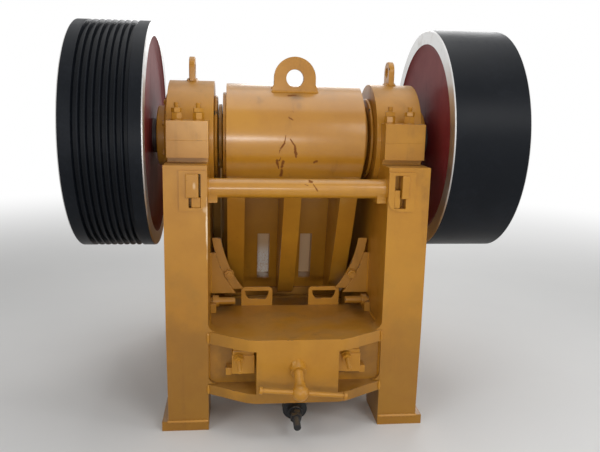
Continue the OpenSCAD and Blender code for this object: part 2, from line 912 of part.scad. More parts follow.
// The rod's own line: y runs along it to the rear
module rod_frame() {
    translate([0, rod_pin_y, rod_pin_z]) rotate([rod_fall, 0, 0]) children();
}

function along_rod(y) = (rod_pin_y - y) / cos(rod_fall);

module rod_piece(from, to, r) {
    rod_frame() translate([0, -along_rod(to), 0]) rotate([90, 0, 0])
        cylinder(h = along_rod(from) - along_rod(to), r = r);
}

module tension_rod() {
    color("dimgray") placed() {
        rod_piece(rod_end_y, rod_pin_y - 26, rod_r);
        difference() {
            across(-rod_eye_half, rod_eye_half, rod_eye_r, rod_pin_y, rod_pin_z);
            across(-rod_eye_half - 1, rod_eye_half + 1, pin_r + running_gap, rod_pin_y, rod_pin_z);
        }
    }
}

module rod_pin() {
    color("silver") placed() across(-jaw_rib_t / 2 - 14, jaw_rib_t / 2 + 14, pin_r, rod_pin_y, rod_pin_z);
}

module spring_cup() {
    color("dimgray") placed() difference() {
        union() {
            rod_piece(cup_y - cup_floor, cup_y, cup_r);
            rod_piece(cup_y - cup_floor - cup_neck[0], cup_y - cup_floor, cup_neck[1]);
            difference() {
                rod_piece(cup_y - 1, cup_y + cup_lip[0], cup_r);
                rod_piece(cup_y, cup_y + cup_lip[0] + 4, cup_r - cup_lip[1]);
            }
        }
        rod_piece(cup_y - cup_floor - cup_neck[0] - 4, cup_y + cup_lip[0] + 4, rod_r);
    }
}

module spring_bracket() {
    color("goldenrod") placed() difference() {
        rod_frame() translate([-bracket_half, -along_rod(bracket_y), -bracket_hang]) difference() {
            cube([2 * bracket_half, bracket_t, bracket_h]);
            translate([bracket_half, -1, bracket_hang]) rotate([-90, 0, 0])
                cylinder(h = bracket_t + 2, r = rod_r + throw + 6);
        }
        translate([-100, -100, beam_bottom]) cube([200, 400, 300]);
    }
}

module tension_spring() {
    length = along_rod(cup_y) - along_rod(bracket_y) - 0.6;
    color("dimgray") placed() rod_frame() translate([0, -along_rod(bracket_y) - 0.3, 0]) rotate([90, 0, 0])
        coil(spring_r, spring_wire_r, length, 5.5);
}

// A closed-end compression spring of round wire, standing on z = 0
module coil(r, wire, length, turns, steps = 20, sides = 8) {
    n = round(turns * steps);
    rise = length - 2 * wire;
    // The first and last turns lie almost flat
    function height(u) = wire + rise * (u - 0.08 * sin(360 * u));
    points = [
        for (i = [0 : n]) for (j = [0 : sides - 1])
            let (a = 360 * i / steps, b = 360 * j / sides, d = r + wire * cos(b))
            [d * cos(a), d * sin(a), height(i / n) + wire * sin(b)]
    ];
    walls = [
        for (i = [0 : n - 1]) for (j = [0 : sides - 1]) let (k = (j + 1) % sides)
            [i * sides + j, i * sides + k, (i + 1) * sides + k, (i + 1) * sides + j]
    ];
    ends = [[for (j = [sides - 1 : -1 : 0]) j], [for (j = [0 : sides - 1]) n * sides + j]];
    polyhedron(points, concat(walls, ends));
}

// Adjusting screw with its handle

// The screw leaves the middle panel downwards to the rear
module screw_frame() {
    translate([0, -bulge, beam_bottom + screw_rise]) rotate([90 + screw_dip, 0, 0]) children();
}

module adjusting_screw() {
    color("goldenrod") placed() screw_frame() difference() {
        union() {
            translate([0, 0, -screw_in]) cylinder(h = screw_in + handle_at, r = screw_r);
            translate([0, 0, handle_at - screw_head_h / 2]) cylinder(h = screw_head_h, r = screw_head_r);
        }
        handle_bar(handle_r + handle_clear);
    }
}

// The bar through the screw, with its middle slid a little to one side
module handle_bar(r, from = -handle_len / 2, to = handle_len / 2) {
    translate([0, 0, handle_at]) rotate([0, 90, handle_tilt])
        translate([0, 0, handle_slide + from]) cylinder(h = to - from, r = r);
}

module adjusting_handle() {
    knob_r = handle_r + handle_knob[1];
    color("goldenrod") placed() screw_frame() {
        handle_bar(handle_r);
        handle_bar(knob_r, -handle_len / 2, handle_knob[0] - handle_len / 2);
        handle_bar(knob_r, handle_len / 2 - handle_knob[0], handle_len / 2);
    }
}

// Fittings on the shelf and in the pockets of the beam

module pocket_blocks() {
    x = panel_w / 2 + pocket_gap;
    z = beam_bottom + beam_bottom_t + pocket_rise;
    color("goldenrod") placed() both_sides() {
        translate([x, pocket_depth - pocket_block[1], z]) cube(pocket_block);
        translate([x + pocket_block[0], pocket_depth - pocket_tab[1], z - pocket_tab_drop]) cube(pocket_tab);
    }
}

// The middle of the gussets' hollow edge, right of the crusher's middle
module gusset_circle(r) {
    // Its chord runs from the foot of the gusset to the narrow top
    run = gusset_w - gusset_top;
    chord = norm([run, gusset_h]);
    back = sqrt(pow(gusset_curve, 2) - pow(chord / 2, 2));
    translate([half_gap - (gusset_w + gusset_top) / 2 - back * gusset_h / chord,
               gusset_low + gusset_h / 2 + back * run / chord]) circle(r, $fn = 160);
}

module corner_plates() {
    rear = shelf_len - 12;
    color("goldenrod") placed() both_sides() {
        xz(rear - gusset_t, rear) difference() {
            translate([half_gap - gusset_w, gusset_low]) square([gusset_w, gusset_h]);
            gusset_circle(gusset_curve);
        }
        // Curved bar in front of the gusset's hollow edge
        xz(rear, shelf_len) intersection() {
            translate([half_gap - gusset_w - curved_bar_w, gusset_low + 16])
                square([gusset_w + curved_bar_w, gusset_h + curved_bar_rise]);
            difference() {
                gusset_circle(gusset_curve + 4);
                gusset_circle(gusset_curve + 4 - curved_bar_w);
            }
        }
    }
}

module keeper_bars() {
    bar_y = shelf_len - 60;
    color("goldenrod") placed() both_sides() {
        across(half_gap - bar_len, half_gap, bar_r, bar_y, bar_z);
        across(half_gap - bar_collar[0] - bar_collar[1], half_gap - bar_collar[0],
               bar_r + bar_collar[2], bar_y, bar_z);
        // Stop that holds the bar down beside the wall
        translate([half_gap - stop_w, bar_y - stop_len / 2, beam_top])
            cube([stop_w, stop_len, bar_z - beam_top]);
    }
}

left_side_wall();
right_side_wall();
front_wall();
rear_beam();
tie_tube();
slot_keys();
fixed_jaw_plate();
left_cheek_plate();
right_cheek_plate();
left_bearing_base();
right_bearing_base();
left_bearing_cap();
right_bearing_cap();
cap_eyes();
main_bearings();
inner_covers();
outer_covers();
eccentric_shaft();
throw_rings();
flywheel();
belt_sheave();
swing_jaw();
swing_jaw_plate();
jaw_wedge();
lifting_lug();
jaw_covers();
jaw_bearings();
toggle_pad();
toggle_plate();
toggle_block();
left_shim();
right_shim();
tension_rod();
rod_pin();
spring_cup();
spring_bracket();
tension_spring();
adjusting_screw();
adjusting_handle();
pocket_blocks();
corner_plates();
keeper_bars();
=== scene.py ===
"""Looks of a single-toggle jaw crusher: painted castings and weldments, turned wheels, wear plates and bolts.

Lengths are in metres in the part's own frame: X along the shaft, Y from the rear beam to the front wall,
Z up, with the origin on the ground in the middle of the four foot bolts.
"""

import json
import logging
import math
from dataclasses import dataclass
from enum import Enum
from typing import Any, Mapping, Sequence, Union

import bmesh
import bpy
from mathutils import Matrix, Vector


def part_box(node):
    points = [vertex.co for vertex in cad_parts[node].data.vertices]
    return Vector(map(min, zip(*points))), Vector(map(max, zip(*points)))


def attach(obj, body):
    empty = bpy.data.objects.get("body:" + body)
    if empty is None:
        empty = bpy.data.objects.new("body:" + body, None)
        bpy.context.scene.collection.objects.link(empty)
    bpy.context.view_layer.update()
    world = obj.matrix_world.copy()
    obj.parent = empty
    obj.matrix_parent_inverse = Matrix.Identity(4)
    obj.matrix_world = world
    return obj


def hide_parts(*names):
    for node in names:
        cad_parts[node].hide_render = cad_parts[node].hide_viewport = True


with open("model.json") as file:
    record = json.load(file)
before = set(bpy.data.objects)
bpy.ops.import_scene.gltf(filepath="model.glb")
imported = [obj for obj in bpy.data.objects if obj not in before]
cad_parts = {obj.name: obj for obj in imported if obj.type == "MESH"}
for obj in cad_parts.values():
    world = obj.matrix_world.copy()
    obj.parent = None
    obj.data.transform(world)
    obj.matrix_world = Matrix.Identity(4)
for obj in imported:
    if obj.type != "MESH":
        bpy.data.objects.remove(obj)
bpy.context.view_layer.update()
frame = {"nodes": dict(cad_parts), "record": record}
LOG = logging.getLogger("jaw_crusher")

JOINTS = {joint["name"]: joint for joint in frame["record"]["behaviour"]["joints"]}
SHAFT = Vector(JOINTS["shaft_turn"]["pos_m"])
THROW = Vector(JOINTS["jaw_swing"]["pos_m"])


class Body(str, Enum):
    """The parts of the crusher that move as one."""

    FRAME = "frame"
    SHAFT = "shaft"
    JAW = "jaw"


class Slot(str, Enum):
    """The material slots that the record names."""

    YELLOW = "yellow_paint"
    WHEEL = "wheel_paint"
    MACHINED = "machined_steel"
    MANGANESE = "manganese_steel"
    BLACK = "black_steel"


class Side(Enum):
    """The two ends of the shaft."""

    LEFT = -1
    RIGHT = 1


@dataclass(frozen=True)
class Extent:
    """The box of a CAD solid."""

    low: Vector
    high: Vector

    @classmethod
    def of(cls, node: str) -> "Extent":
        """The box of a node at rest."""
        return cls(*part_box(node))

    @property
    def middle(self) -> Vector:
        """The middle of the box."""
        return (self.low + self.high) / 2


# Shader maths


Number = Union["Value", bpy.types.NodeSocket, float]
Colour = Sequence[float]
Input = Union[Number, Colour]


class Value:
    """A number that varies over a surface. Arithmetic on it adds Math nodes to its tree."""

    def __init__(self, tree: "Tree", socket: bpy.types.NodeSocket) -> None:
        """Wraps an output socket of the tree."""
        self.tree = tree
        self.socket = socket

    def _maths(self, operation: str, *operands: Number) -> "Value":
        """One Math node on the operands."""
        inputs = dict(enumerate(operands))
        node = self.tree.node("ShaderNodeMath", {"operation": operation}, inputs)
        return Value(self.tree, node.outputs[0])

    def __add__(self, other: Number) -> "Value":
        """self + other."""
        return self._maths("ADD", self, other)

    def __radd__(self, other: Number) -> "Value":
        """other + self."""
        return self._maths("ADD", other, self)

    def __sub__(self, other: Number) -> "Value":
        """self - other."""
        return self._maths("SUBTRACT", self, other)

    def __rsub__(self, other: Number) -> "Value":
        """other - self."""
        return self._maths("SUBTRACT", other, self)

    def __mul__(self, other: Number) -> "Value":
        """self * other."""
        return self._maths("MULTIPLY", self, other)

    def __rmul__(self, other: Number) -> "Value":
        """other * self."""
        return self._maths("MULTIPLY", other, self)

    def __truediv__(self, other: Number) -> "Value":
        """self / other."""
        return self._maths("DIVIDE", self, other)

    def __rtruediv__(self, other: Number) -> "Value":
        """other / self."""
        return self._maths("DIVIDE", other, self)

    def sqrt(self) -> "Value":
        """The square root."""
        return self._maths("SQRT", self)

    def sine(self) -> "Value":
        """The sine of the number in radians."""
        return self._maths("SINE", self)

    def largest(self, other: Number) -> "Value":
        """The larger of two numbers."""
        return self._maths("MAXIMUM", self, other)

    def smallest(self, other: Number) -> "Value":
        """The smaller of two numbers."""
        return self._maths("MINIMUM", self, other)

    def ramp(self, low: float, high: float, start: float = 0.0, end: float = 1.0) -> "Value":
        """A smooth step between two numbers.

        Args:
            low: the number at which the result is start.
            high: the number at which the result is end.
            start: the result up to low.
            end: the result from high on.

        Returns:
            The stepped value.
        """
        node = self.tree.node(
            "ShaderNodeMapRange",
            {"interpolation_type": "SMOOTHSTEP", "clamp": True},
            {0: self, 1: low, 2: high, 3: start, 4: end},
        )
        return Value(self.tree, node.outputs[0])


def opaque(colour: Input) -> Input:
    """A plain colour with its alpha, or a socket as it is."""
    return (*colour, 1) if isinstance(colour, tuple) else colour


class Tree:
    """A node tree, with the one method that adds its nodes."""

    def __init__(self, tree: bpy.types.NodeTree) -> None:
        """Empties the tree."""
        self.tree = tree
        self.tree.nodes.clear()

    def node(self, kind: str, settings: Mapping[str, Any] | None = None,
             inputs: Mapping[Union[int, str], Any] | None = None) -> bpy.types.Node:
        """Adds a node.

        Args:
            kind: the node's type.
            settings: its own settings, which are set first.
            inputs: a number, colour, vector, Value or socket for each input.

        Returns:
            The node.
        """
        node = self.tree.nodes.new(kind)
        for key, value in (settings or {}).items():
            setattr(node, key, value)
        for key, value in (inputs or {}).items():
            source = value.socket if isinstance(value, Value) else value
            if isinstance(source, bpy.types.NodeSocket):
                self.tree.links.new(source, node.inputs[key])
            else:
                node.inputs[key].default_value = source
        return node


class Graph(Tree):
    """The node tree of one material."""

    def __init__(self, name: str) -> None:
        """Starts an empty material of that name."""
        self.material = bpy.data.materials.new(name)
        self.material.use_nodes = True
        super().__init__(self.material.node_tree)

    def place(self, scale: Sequence[float] = (1, 1, 1), centre: Sequence[float] = (0, 0, 0),
              turn: Sequence[float] = (0, 0, 0)) -> bpy.types.NodeSocket:
        """The place on the object, moved, turned and stretched.

        Args:
            scale: how many times the pattern repeats in a metre, along each axis.
            centre: the point that becomes the pattern's origin.
            turn: how far the pattern is turned about each axis.

        Returns:
            The vector socket.
        """
        source = self.node("ShaderNodeTexCoord")
        moved = self.node("ShaderNodeVectorMath", {"operation": "SUBTRACT"},
                          {0: source.outputs["Object"], 1: centre})
        mapped = self.node("ShaderNodeMapping", {"vector_type": "POINT"},
                           {"Vector": moved.outputs[0], "Rotation": turn, "Scale": scale})
        return mapped.outputs[0]

    def axes(self, vector: bpy.types.NodeSocket) -> list[Value]:
        """The three numbers of a vector."""
        parts = self.node("ShaderNodeSeparateXYZ", None, {0: vector})
        return [Value(self, socket) for socket in parts.outputs]

    def noise(self, vector: bpy.types.NodeSocket, scale: float, detail: float = 3.0,
              rough: float = 0.55, warp: float = 0.0) -> Value:
        """Cloudy noise from 0 to 1.

        Args:
            vector: where to look the noise up.
            scale: how fine it is.
            detail: how many octaves it has.
            rough: how strong the finer octaves are.
            warp: how far it is distorted.

        Returns:
            The noise.
        """
        node = self.node("ShaderNodeTexNoise", {"noise_dimensions": "3D"},
                         {"Vector": vector, "Scale": scale, "Detail": detail, "Roughness": rough,
                          "Distortion": warp})
        return Value(self, node.outputs[0])

    def attribute(self, name: str) -> Value:
        """A number stored on the mesh."""
        node = self.node("ShaderNodeAttribute", {"attribute_type": "GEOMETRY", "attribute_name": name})
        return Value(self, node.outputs["Fac"])

    def upward(self) -> Value:
        """How far a face looks up, from -1 to 1."""
        node = self.node("ShaderNodeNewGeometry")
        return self.axes(node.outputs["Normal"])[2]

    def mix(self, low: Input, high: Input, share: Input) -> bpy.types.NodeSocket:
        """A blend of two colours.

        Args:
            low: the colour at share 0.
            high: the colour at share 1.
            share: the share of the second colour.

        Returns:
            The colour socket.
        """
        node = self.node("ShaderNodeMix", {"data_type": "RGBA", "blend_type": "MIX"},
                         {0: share, 6: opaque(low), 7: opaque(high)})
        return node.outputs[2]

    def bump(self, height: Value, depth: float, strength: float = 1.0) -> bpy.types.NodeSocket:
        """A normal that follows a height.

        Args:
            height: the height, from 0 to 1.
            depth: what a height of 1 stands for, in metres.
            strength: how much of it shows.

        Returns:
            The normal socket.
        """
        node = self.node("ShaderNodeBump", None, {"Height": height, "Distance": depth, "Strength": strength})
        return node.outputs[0]

    def surface(self, inputs: Mapping[str, Any]) -> bpy.types.Material:
        """Closes the graph with the main shader.

        Args:
            inputs: a number, colour or socket for each of the shader's inputs.

        Returns:
            The material.
        """
        shader = self.node("ShaderNodeBsdfPrincipled", None, inputs)
        self.node("ShaderNodeOutputMaterial", None, {"Surface": shader.outputs[0]})
        return self.material


# Finishes


@dataclass(frozen=True)
class Scratch:
    """A scratch on a face that looks to the rear, between two places in X and Z, with a width at each."""

    start: tuple[float, float]
    end: tuple[float, float]
    width: float = 0.004
    end_width: float = 0.004
    fray: float = 2.4

    def mask(self, x: Value, z: Value, ragged: Value) -> Value:
        """The scratch's mask.

        Args:
            x: the place along X.
            z: the height.
            ragged: noise that frays its sides.

        Returns:
            1 in the scratch and 0 beside it.
        """
        run, rise = self.end[0] - self.start[0], self.end[1] - self.start[1]
        share = ((x - self.start[0]) * run + (z - self.start[1]) * rise) / (run * run + rise * rise)
        share = share.largest(0.0).smallest(1.0)
        off_x = x - self.start[0] - share * run
        off_z = z - self.start[1] - share * rise
        width = share * (self.end_width - self.width) + self.width
        distance = (off_x * off_x + off_z * off_z).sqrt() / width + (ragged - 0.5) * self.fray
        return distance.ramp(0.35, 1.20, 1.0, 0.0)


@dataclass(frozen=True)
class DirtAndLightPatch:
    """An oval cloud of colour about a point: grime, dust, painted shade or a painted highlight."""

    centre: tuple[float, float, float]
    reach: tuple[float, float, float]
    share: float = 0.4
    colour: Colour | None = None
    fray: float = 1.4

    def mask(self, g: Graph, ragged: Value) -> Value:
        """The cloud's mask.

        Args:
            g: the paint's graph.
            ragged: noise that frays its sides.

        Returns:
            The share of the cloud's colour at its middle, and 0 outside.
        """
        scaled = g.place(tuple(1 / r for r in self.reach), self.centre)
        length = g.node("ShaderNodeVectorMath", {"operation": "LENGTH"}, {0: scaled})
        away = Value(g, length.outputs["Value"]) + (ragged - 0.5) * self.fray
        return away.ramp(0.30, 1.0, self.share, 0.0)


@dataclass(frozen=True)
class Paint:
    """Sprayed machine enamel with grime in its runs and corners, chips on its edges and dust on top."""

    name: str
    colour: Colour
    shade: Colour
    grime_and_shade: Colour
    bare: Colour
    gloss: float = 0.36
    shine: float = 0.34
    grime_share: float = 0.5
    chips: float = 1.0
    dust: float = 0.35
    dust_colour: Colour = (0.30, 0.20, 0.09)
    coat: float = 0.12
    scratches: Sequence[Scratch] = ()
    scratched_to: float = 0.12
    dirt_and_light_patches: Sequence[DirtAndLightPatch] = ()

    def material(self) -> bpy.types.Material:
        """Builds the paint.

        Returns:
            The material.
        """
        g = Graph(self.name)
        here = g.place()
        cloud = g.noise(here, 2.6, 4.0, 0.6)
        patch = g.noise(here, 9.0, 5.0, 0.62)
        runs = g.noise(g.place((15.0, 15.0, 1.2)), 1.0, 5.0, 0.6, 0.35)
        specks = g.noise(here, 85.0, 3.0, 0.7)
        peel = g.noise(here, 320.0, 2.0, 0.5)
        lap = g.noise(here, 17.0, 3.0, 0.55)
        tone = (cloud * 0.6 + patch * 0.4).ramp(0.34, 0.66)
        colour = g.mix(self.colour, self.shade, tone)
        stain = runs.ramp(0.54, 0.78) * patch.ramp(0.38, 0.62) * self.grime_share
        colour = g.mix(colour, self.grime_and_shade, stain)
        # Listed patches of grime, painted shade and painted highlight; a patch without its own colour takes
        # the grime colour, which thus also serves as painted shade.
        for spot in self.dirt_and_light_patches:
            colour = g.mix(colour, spot.colour or self.grime_and_shade, spot.mask(g, patch))
        edge = g.attribute("edge")
        corner = (edge * -1.0).ramp(0.1, 0.9) * specks.ramp(0.25, 0.65, 0.45, 0.9)
        colour = g.mix(colour, self.grime_and_shade, corner * 0.75)
        settled = g.upward().ramp(0.60, 0.95) * patch.ramp(0.36, 0.66) * self.dust
        colour = g.mix(colour, self.dust_colour, settled)
        worn = edge.ramp(0.1, 0.6) * lap.ramp(0.585, 0.625) * specks.ramp(0.38, 0.46) * self.chips
        nick = g.noise(here, 24.0, 6.0, 0.72).ramp(0.715, 0.73) * self.chips
        chipped = worn.largest(nick)
        for mask in self._scratches(g, specks):
            chipped = chipped.largest(mask)
        colour = g.mix(colour, self.bare, chipped)
        rough = self.gloss + tone * 0.08 + stain * 0.22 + settled * 0.35 + chipped * 0.45 + corner * 0.2
        height = peel * 0.16 + lap * 0.45 + patch * 0.4 - chipped * 0.5
        coat = (1.0 - chipped) * self.coat
        return g.surface({"Base Color": colour, "Roughness": rough, "Metallic": 0.0,
                          "Specular IOR Level": self.shine, "Coat Weight": coat, "Coat Roughness": 0.2,
                          "Normal": g.bump(height, 0.0012, 0.5)})

    def _scratches(self, g: Graph, specks: Value) -> list[Value]:
        """The masks of the paint's scratches, which show only behind the shaft.

        Args:
            g: the paint's graph.
            specks: fine noise for their ragged sides.

        Returns:
            One mask for each scratch.
        """
        if not self.scratches:
            return []
        x, y, z = g.axes(g.place())
        limit = SHAFT.y - self.scratched_to
        behind = y.ramp(limit - 0.01, limit, 1.0, 0.0)
        return [scratch.mask(x, z, specks) * behind for scratch in self.scratches]


@dataclass(frozen=True)
class TurnedSteel:
    """Bare machined steel with the rings of the lathe, browned with handling and greased by its seals."""

    name: str
    colour: Colour = (0.60, 0.595, 0.585)
    tarnish: Colour = (0.26, 0.20, 0.14)
    grease: Colour = (0.030, 0.014, 0.010)
    rings: float = 900.0
    rough: float = 0.30
    browning: float = 0.3
    greased_to: float = 0.0

    def material(self) -> bpy.types.Material:
        """Builds the steel.

        Returns:
            The material.
        """
        g = Graph(self.name)
        centred = g.place((1, 1, 1), tuple(SHAFT))
        x, y, z = g.axes(centred)
        radius = (y * y + z * z).sqrt()
        lathe = ((radius + x) * self.rings).sine() * 0.5 + 0.5
        cloud = g.noise(centred, 7.0, 5.0, 0.62)
        blotch = g.noise(centred, 28.0, 4.0, 0.66)
        browned = (cloud * 0.65 + blotch * 0.35).ramp(0.50, 0.70) * self.browning
        colour = g.mix(self.colour, self.tarnish, browned)
        rough = self.rough + browned * 0.34 + lathe * 0.06
        metal = 1.0 - browned * 0.6
        if self.greased_to:
            film = (x * x).sqrt().ramp(self.greased_to - 0.004, self.greased_to, 1.0, 0.0)
            colour = g.mix(colour, self.grease, film)
            rough = rough + film * 0.2
            metal = metal * (1.0 - film)
        return g.surface({"Base Color": colour, "Roughness": rough, "Metallic": metal,
                          "Normal": g.bump(lathe * 0.3 + blotch * 0.4, 0.0004, 0.5)})


@dataclass(frozen=True)
class RimPaint:
    """Black paint over a turned rim: faint rings, dust and rubbed places."""

    name: str
    colour: Colour = (0.0045, 0.0058, 0.0082)
    dusty: Colour = (0.0145, 0.0170, 0.0225)
    rubbed: Colour = (0.09, 0.088, 0.085)
    rough: float = 0.32
    shine: float = 0.11
    film: float = 0.45

    def material(self) -> bpy.types.Material:
        """Builds the paint.

        Returns:
            The material.
        """
        g = Graph(self.name)
        centred = g.place((1, 1, 1), tuple(SHAFT))
        rings = g.noise(g.place((230.0, 2.0, 2.0)), 1.0, 3.0, 0.6)
        cloud = g.noise(centred, 5.0, 5.0, 0.62)
        specks = g.noise(centred, 60.0, 4.0, 0.7)
        dust = (cloud * 0.6 + specks * 0.4).ramp(0.44, 0.74) * self.film
        colour = g.mix(self.colour, self.dusty, dust)
        worn = g.attribute("edge").ramp(0.1, 0.9) * specks.ramp(0.50, 0.60)
        colour = g.mix(colour, self.rubbed, worn * 0.5)
        rough = self.rough + dust * 0.3 + rings * 0.10
        height = rings * 0.6 + specks * 0.25
        return g.surface({"Base Color": colour, "Roughness": rough, "Metallic": 0.0,
                          "Specular IOR Level": self.shine, "Normal": g.bump(height, 0.0005, 0.45)})


@dataclass(frozen=True)
class CastSteel:
    """Rough cast steel: a sandy skin, rusty in places, rubbed bright on its edges, and painted shade where
    asked.
    """

    name: str
    colour: Colour = (0.20, 0.185, 0.17)
    rust_and_shade: Colour = (0.16, 0.075, 0.035)
    bright: Colour = (0.46, 0.45, 0.43)
    rust_share: float = 0.6
    metallic: float = 0.8
    shade_and_speckle: float = 0.0
    shaded_above: tuple[float, float] = (9.0, 10.0)
    speckle: float = 0.0
    shine: float = 0.5

    def material(self) -> bpy.types.Material:
        """Builds the casting.

        Returns:
            The material.
        """
        g = Graph(self.name)
        here = g.place()
        cloud = g.noise(here, 5.0, 5.0, 0.62)
        sand = g.noise(here, 150.0, 3.0, 0.6)
        blotch = g.noise(here, 22.0, 5.0, 0.66)
        rusty = (cloud * 0.5 + blotch * 0.5).ramp(0.46, 0.66) * self.rust_share
        colour = g.mix(self.colour, self.rust_and_shade, rusty)
        # Painted shade towards the rust colour: the right-hand side and everything above a height, with fine
        # speckle mixed in.
        if self.shade_and_speckle:
            x, _, z = g.axes(here)
            shade_and_speckle = x.ramp(-0.02, 0.02, 0.0, self.shade_and_speckle)
            shade_and_speckle = shade_and_speckle.largest(z.ramp(*self.shaded_above, 0.0, self.shade_and_speckle))
            shade_and_speckle = shade_and_speckle.largest(g.noise(here, 210.0, 3.0, 0.6).ramp(0.50, 0.58) * self.speckle)
            colour = g.mix(colour, self.rust_and_shade, shade_and_speckle)
        rubbed = g.attribute("edge").ramp(0.1, 0.9) * blotch.ramp(0.30, 0.52)
        colour = g.mix(colour, self.bright, rubbed)
        rough = 0.48 + rusty * 0.32 - rubbed * 0.14
        metal = self.metallic - rusty * 0.6
        return g.surface({"Base Color": colour, "Roughness": rough, "Metallic": metal,
                          "Specular IOR Level": self.shine,
                          "Normal": g.bump(sand * 0.6 + blotch * 0.5, 0.0016, 0.6)})


Finish = Union[Paint, TurnedSteel, RimPaint, CastSteel]
BARREL_SCRATCHES = (
    Scratch((-0.043, 1.190), (-0.048, 1.158), 0.0012, 0.0030),
    Scratch((-0.048, 1.158), (-0.063, 1.136), 0.0035, 0.0055),
    Scratch((-0.066, 1.130), (-0.068, 1.118), 0.0030, 0.0015),
    Scratch((-0.025, 1.175), (-0.006, 1.149), 0.0022, 0.0045),
    Scratch((-0.006, 1.149), (0.001, 1.106), 0.0048, 0.0062),
    Scratch((-0.061, 1.100), (-0.066, 1.088), 0.0020, 0.0030),
    Scratch((-0.076, 1.086), (-0.068, 1.054), 0.0068, 0.0028),
    Scratch((-0.050, 1.083), (-0.056, 1.058), 0.0070, 0.0045),
    Scratch((-0.054, 1.049), (-0.055, 1.023), 0.0062, 0.0075),
    Scratch((0.086, 1.087), (0.075, 1.081), 0.0058, 0.0048),
    Scratch((-0.029, 1.346), (0.004, 1.348), 0.0040, 0.0025),
    Scratch((-0.030, 1.260), (-0.014, 1.250), 0.0028, 0.0032),
)
TUBE_SCRATCHES = (
    Scratch((0.043, 1.021), (0.053, 1.018), 0.0050, 0.0040),
    Scratch((0.024, 1.010), (0.036, 1.006), 0.0026, 0.0022),
    Scratch((0.056, 1.012), (0.074, 0.985), 0.0022, 0.0030),
)
# The pale colour of painted highlights.
PAINTED_HIGHLIGHT: Colour = (0.92, 0.74, 0.50)
FRAME_DIRT_AND_LIGHT = (
    # Painted shade inside the beam's two pockets.
    DirtAndLightPatch((-0.255, -0.635, 0.275), (0.115, 0.065, 0.110), 0.42),
    DirtAndLightPatch((0.255, -0.635, 0.275), (0.115, 0.065, 0.110), 0.42),
    DirtAndLightPatch((-0.085, -0.755, 0.235), (0.110, 0.030, 0.060), 0.24),
    # Painted shade: the lower part of the rear beam, darker towards the ground.
    DirtAndLightPatch((0.000, -0.740, 0.120), (0.440, 0.200, 0.170), 0.34),
    # Grime and painted shade at the back of the shelf, near the jaw and the walls.
    DirtAndLightPatch((-0.330, -0.350, 0.420), (0.110, 0.180, 0.060), 0.55),
    DirtAndLightPatch((0.330, -0.350, 0.420), (0.110, 0.180, 0.060), 0.55),
    DirtAndLightPatch((0.000, -0.270, 0.420), (0.360, 0.080, 0.050), 0.50),
    # Painted shade: the lower ends of both posts, darker towards the ground.
    DirtAndLightPatch((-0.430, -0.600, 0.050), (0.400, 0.500, 0.720), 0.40),
    DirtAndLightPatch((0.430, -0.600, 0.050), (0.400, 0.500, 0.720), 0.36),
    # Painted highlights: the left post's inner rear edge, the arc at the doubler's lower corner and a glint
    # on the left key.
    DirtAndLightPatch((-0.3500, -0.652, 0.835), (0.0095, 0.014, 0.140), 0.85, PAINTED_HIGHLIGHT),
    DirtAndLightPatch((-0.3600, -0.652, 0.912), (0.0110, 0.014, 0.016), 0.28, PAINTED_HIGHLIGHT),
    DirtAndLightPatch((-0.3980, -0.670, 1.006), (0.0080, 0.012, 0.018), 0.34, PAINTED_HIGHLIGHT),
)
BARREL_DIRT_AND_LIGHT = (
    DirtAndLightPatch((0.000, -0.405, 1.340), (0.045, 0.060, 0.026), 0.65),
    DirtAndLightPatch((0.010, -0.440, 1.300), (0.020, 0.050, 0.030), 0.30),
    # Pale stone dust on the window sills, partly painted light: near white on the left as painted light,
    # browner on the right as painted shade.
    DirtAndLightPatch((-0.104, 0.066, 0.457), (0.042, 0.050, 0.016), 0.95, (0.86, 0.82, 0.75)),
    DirtAndLightPatch((0.104, 0.066, 0.457), (0.042, 0.050, 0.016), 0.90, (0.56, 0.44, 0.32)),
    DirtAndLightPatch((0.010, -0.330, 0.950), (0.050, 0.200, 0.060), 0.35, (0.420, 0.240, 0.070)),
    DirtAndLightPatch((0.215, -0.330, 0.940), (0.040, 0.200, 0.060), 0.30, (0.420, 0.240, 0.070)),
    DirtAndLightPatch((-0.215, -0.330, 0.930), (0.040, 0.200, 0.060), 0.30, (0.420, 0.240, 0.070)),
)
ENAMEL: Colour = (0.470, 0.215, 0.017)
ENAMEL_SHADE: Colour = (0.385, 0.164, 0.012)
GRIME_AND_SHADE: Colour = (0.105, 0.050, 0.012)
YELLOW = Paint("yellow_enamel", ENAMEL, ENAMEL_SHADE, GRIME_AND_SHADE, (0.055, 0.040, 0.030))
FRAME_YELLOW = Paint("frame_enamel", ENAMEL, ENAMEL_SHADE, GRIME_AND_SHADE, (0.055, 0.040, 0.030),
                     dirt_and_light_patches=FRAME_DIRT_AND_LIGHT)
BARREL_YELLOW = Paint("barrel_enamel", ENAMEL, ENAMEL_SHADE, GRIME_AND_SHADE, (0.175, 0.052, 0.003), gloss=0.30,
                      grime_share=0.35, coat=0.55, scratches=BARREL_SCRATCHES, dirt_and_light_patches=BARREL_DIRT_AND_LIGHT)
TUBE_YELLOW = Paint("tube_enamel", ENAMEL, ENAMEL_SHADE, GRIME_AND_SHADE, (0.190, 0.062, 0.004), gloss=0.32, coat=0.45,
                    grime_share=0.35, scratches=TUBE_SCRATCHES)
DARK_YELLOW = Paint("sheltered_enamel", (0.420, 0.190, 0.017), (0.340, 0.150, 0.014), (0.080, 0.040, 0.013),
                    (0.060, 0.045, 0.035), gloss=0.44, grime_share=0.8, dust=0.6)
WEB_RED = Paint("red_oxide_enamel", (0.190, 0.0200, 0.0200), (0.145, 0.0140, 0.0145), (0.060, 0.0100, 0.0095),
                (0.10, 0.085, 0.08), gloss=0.55, shine=0.10, dust=0.0, chips=0.5)
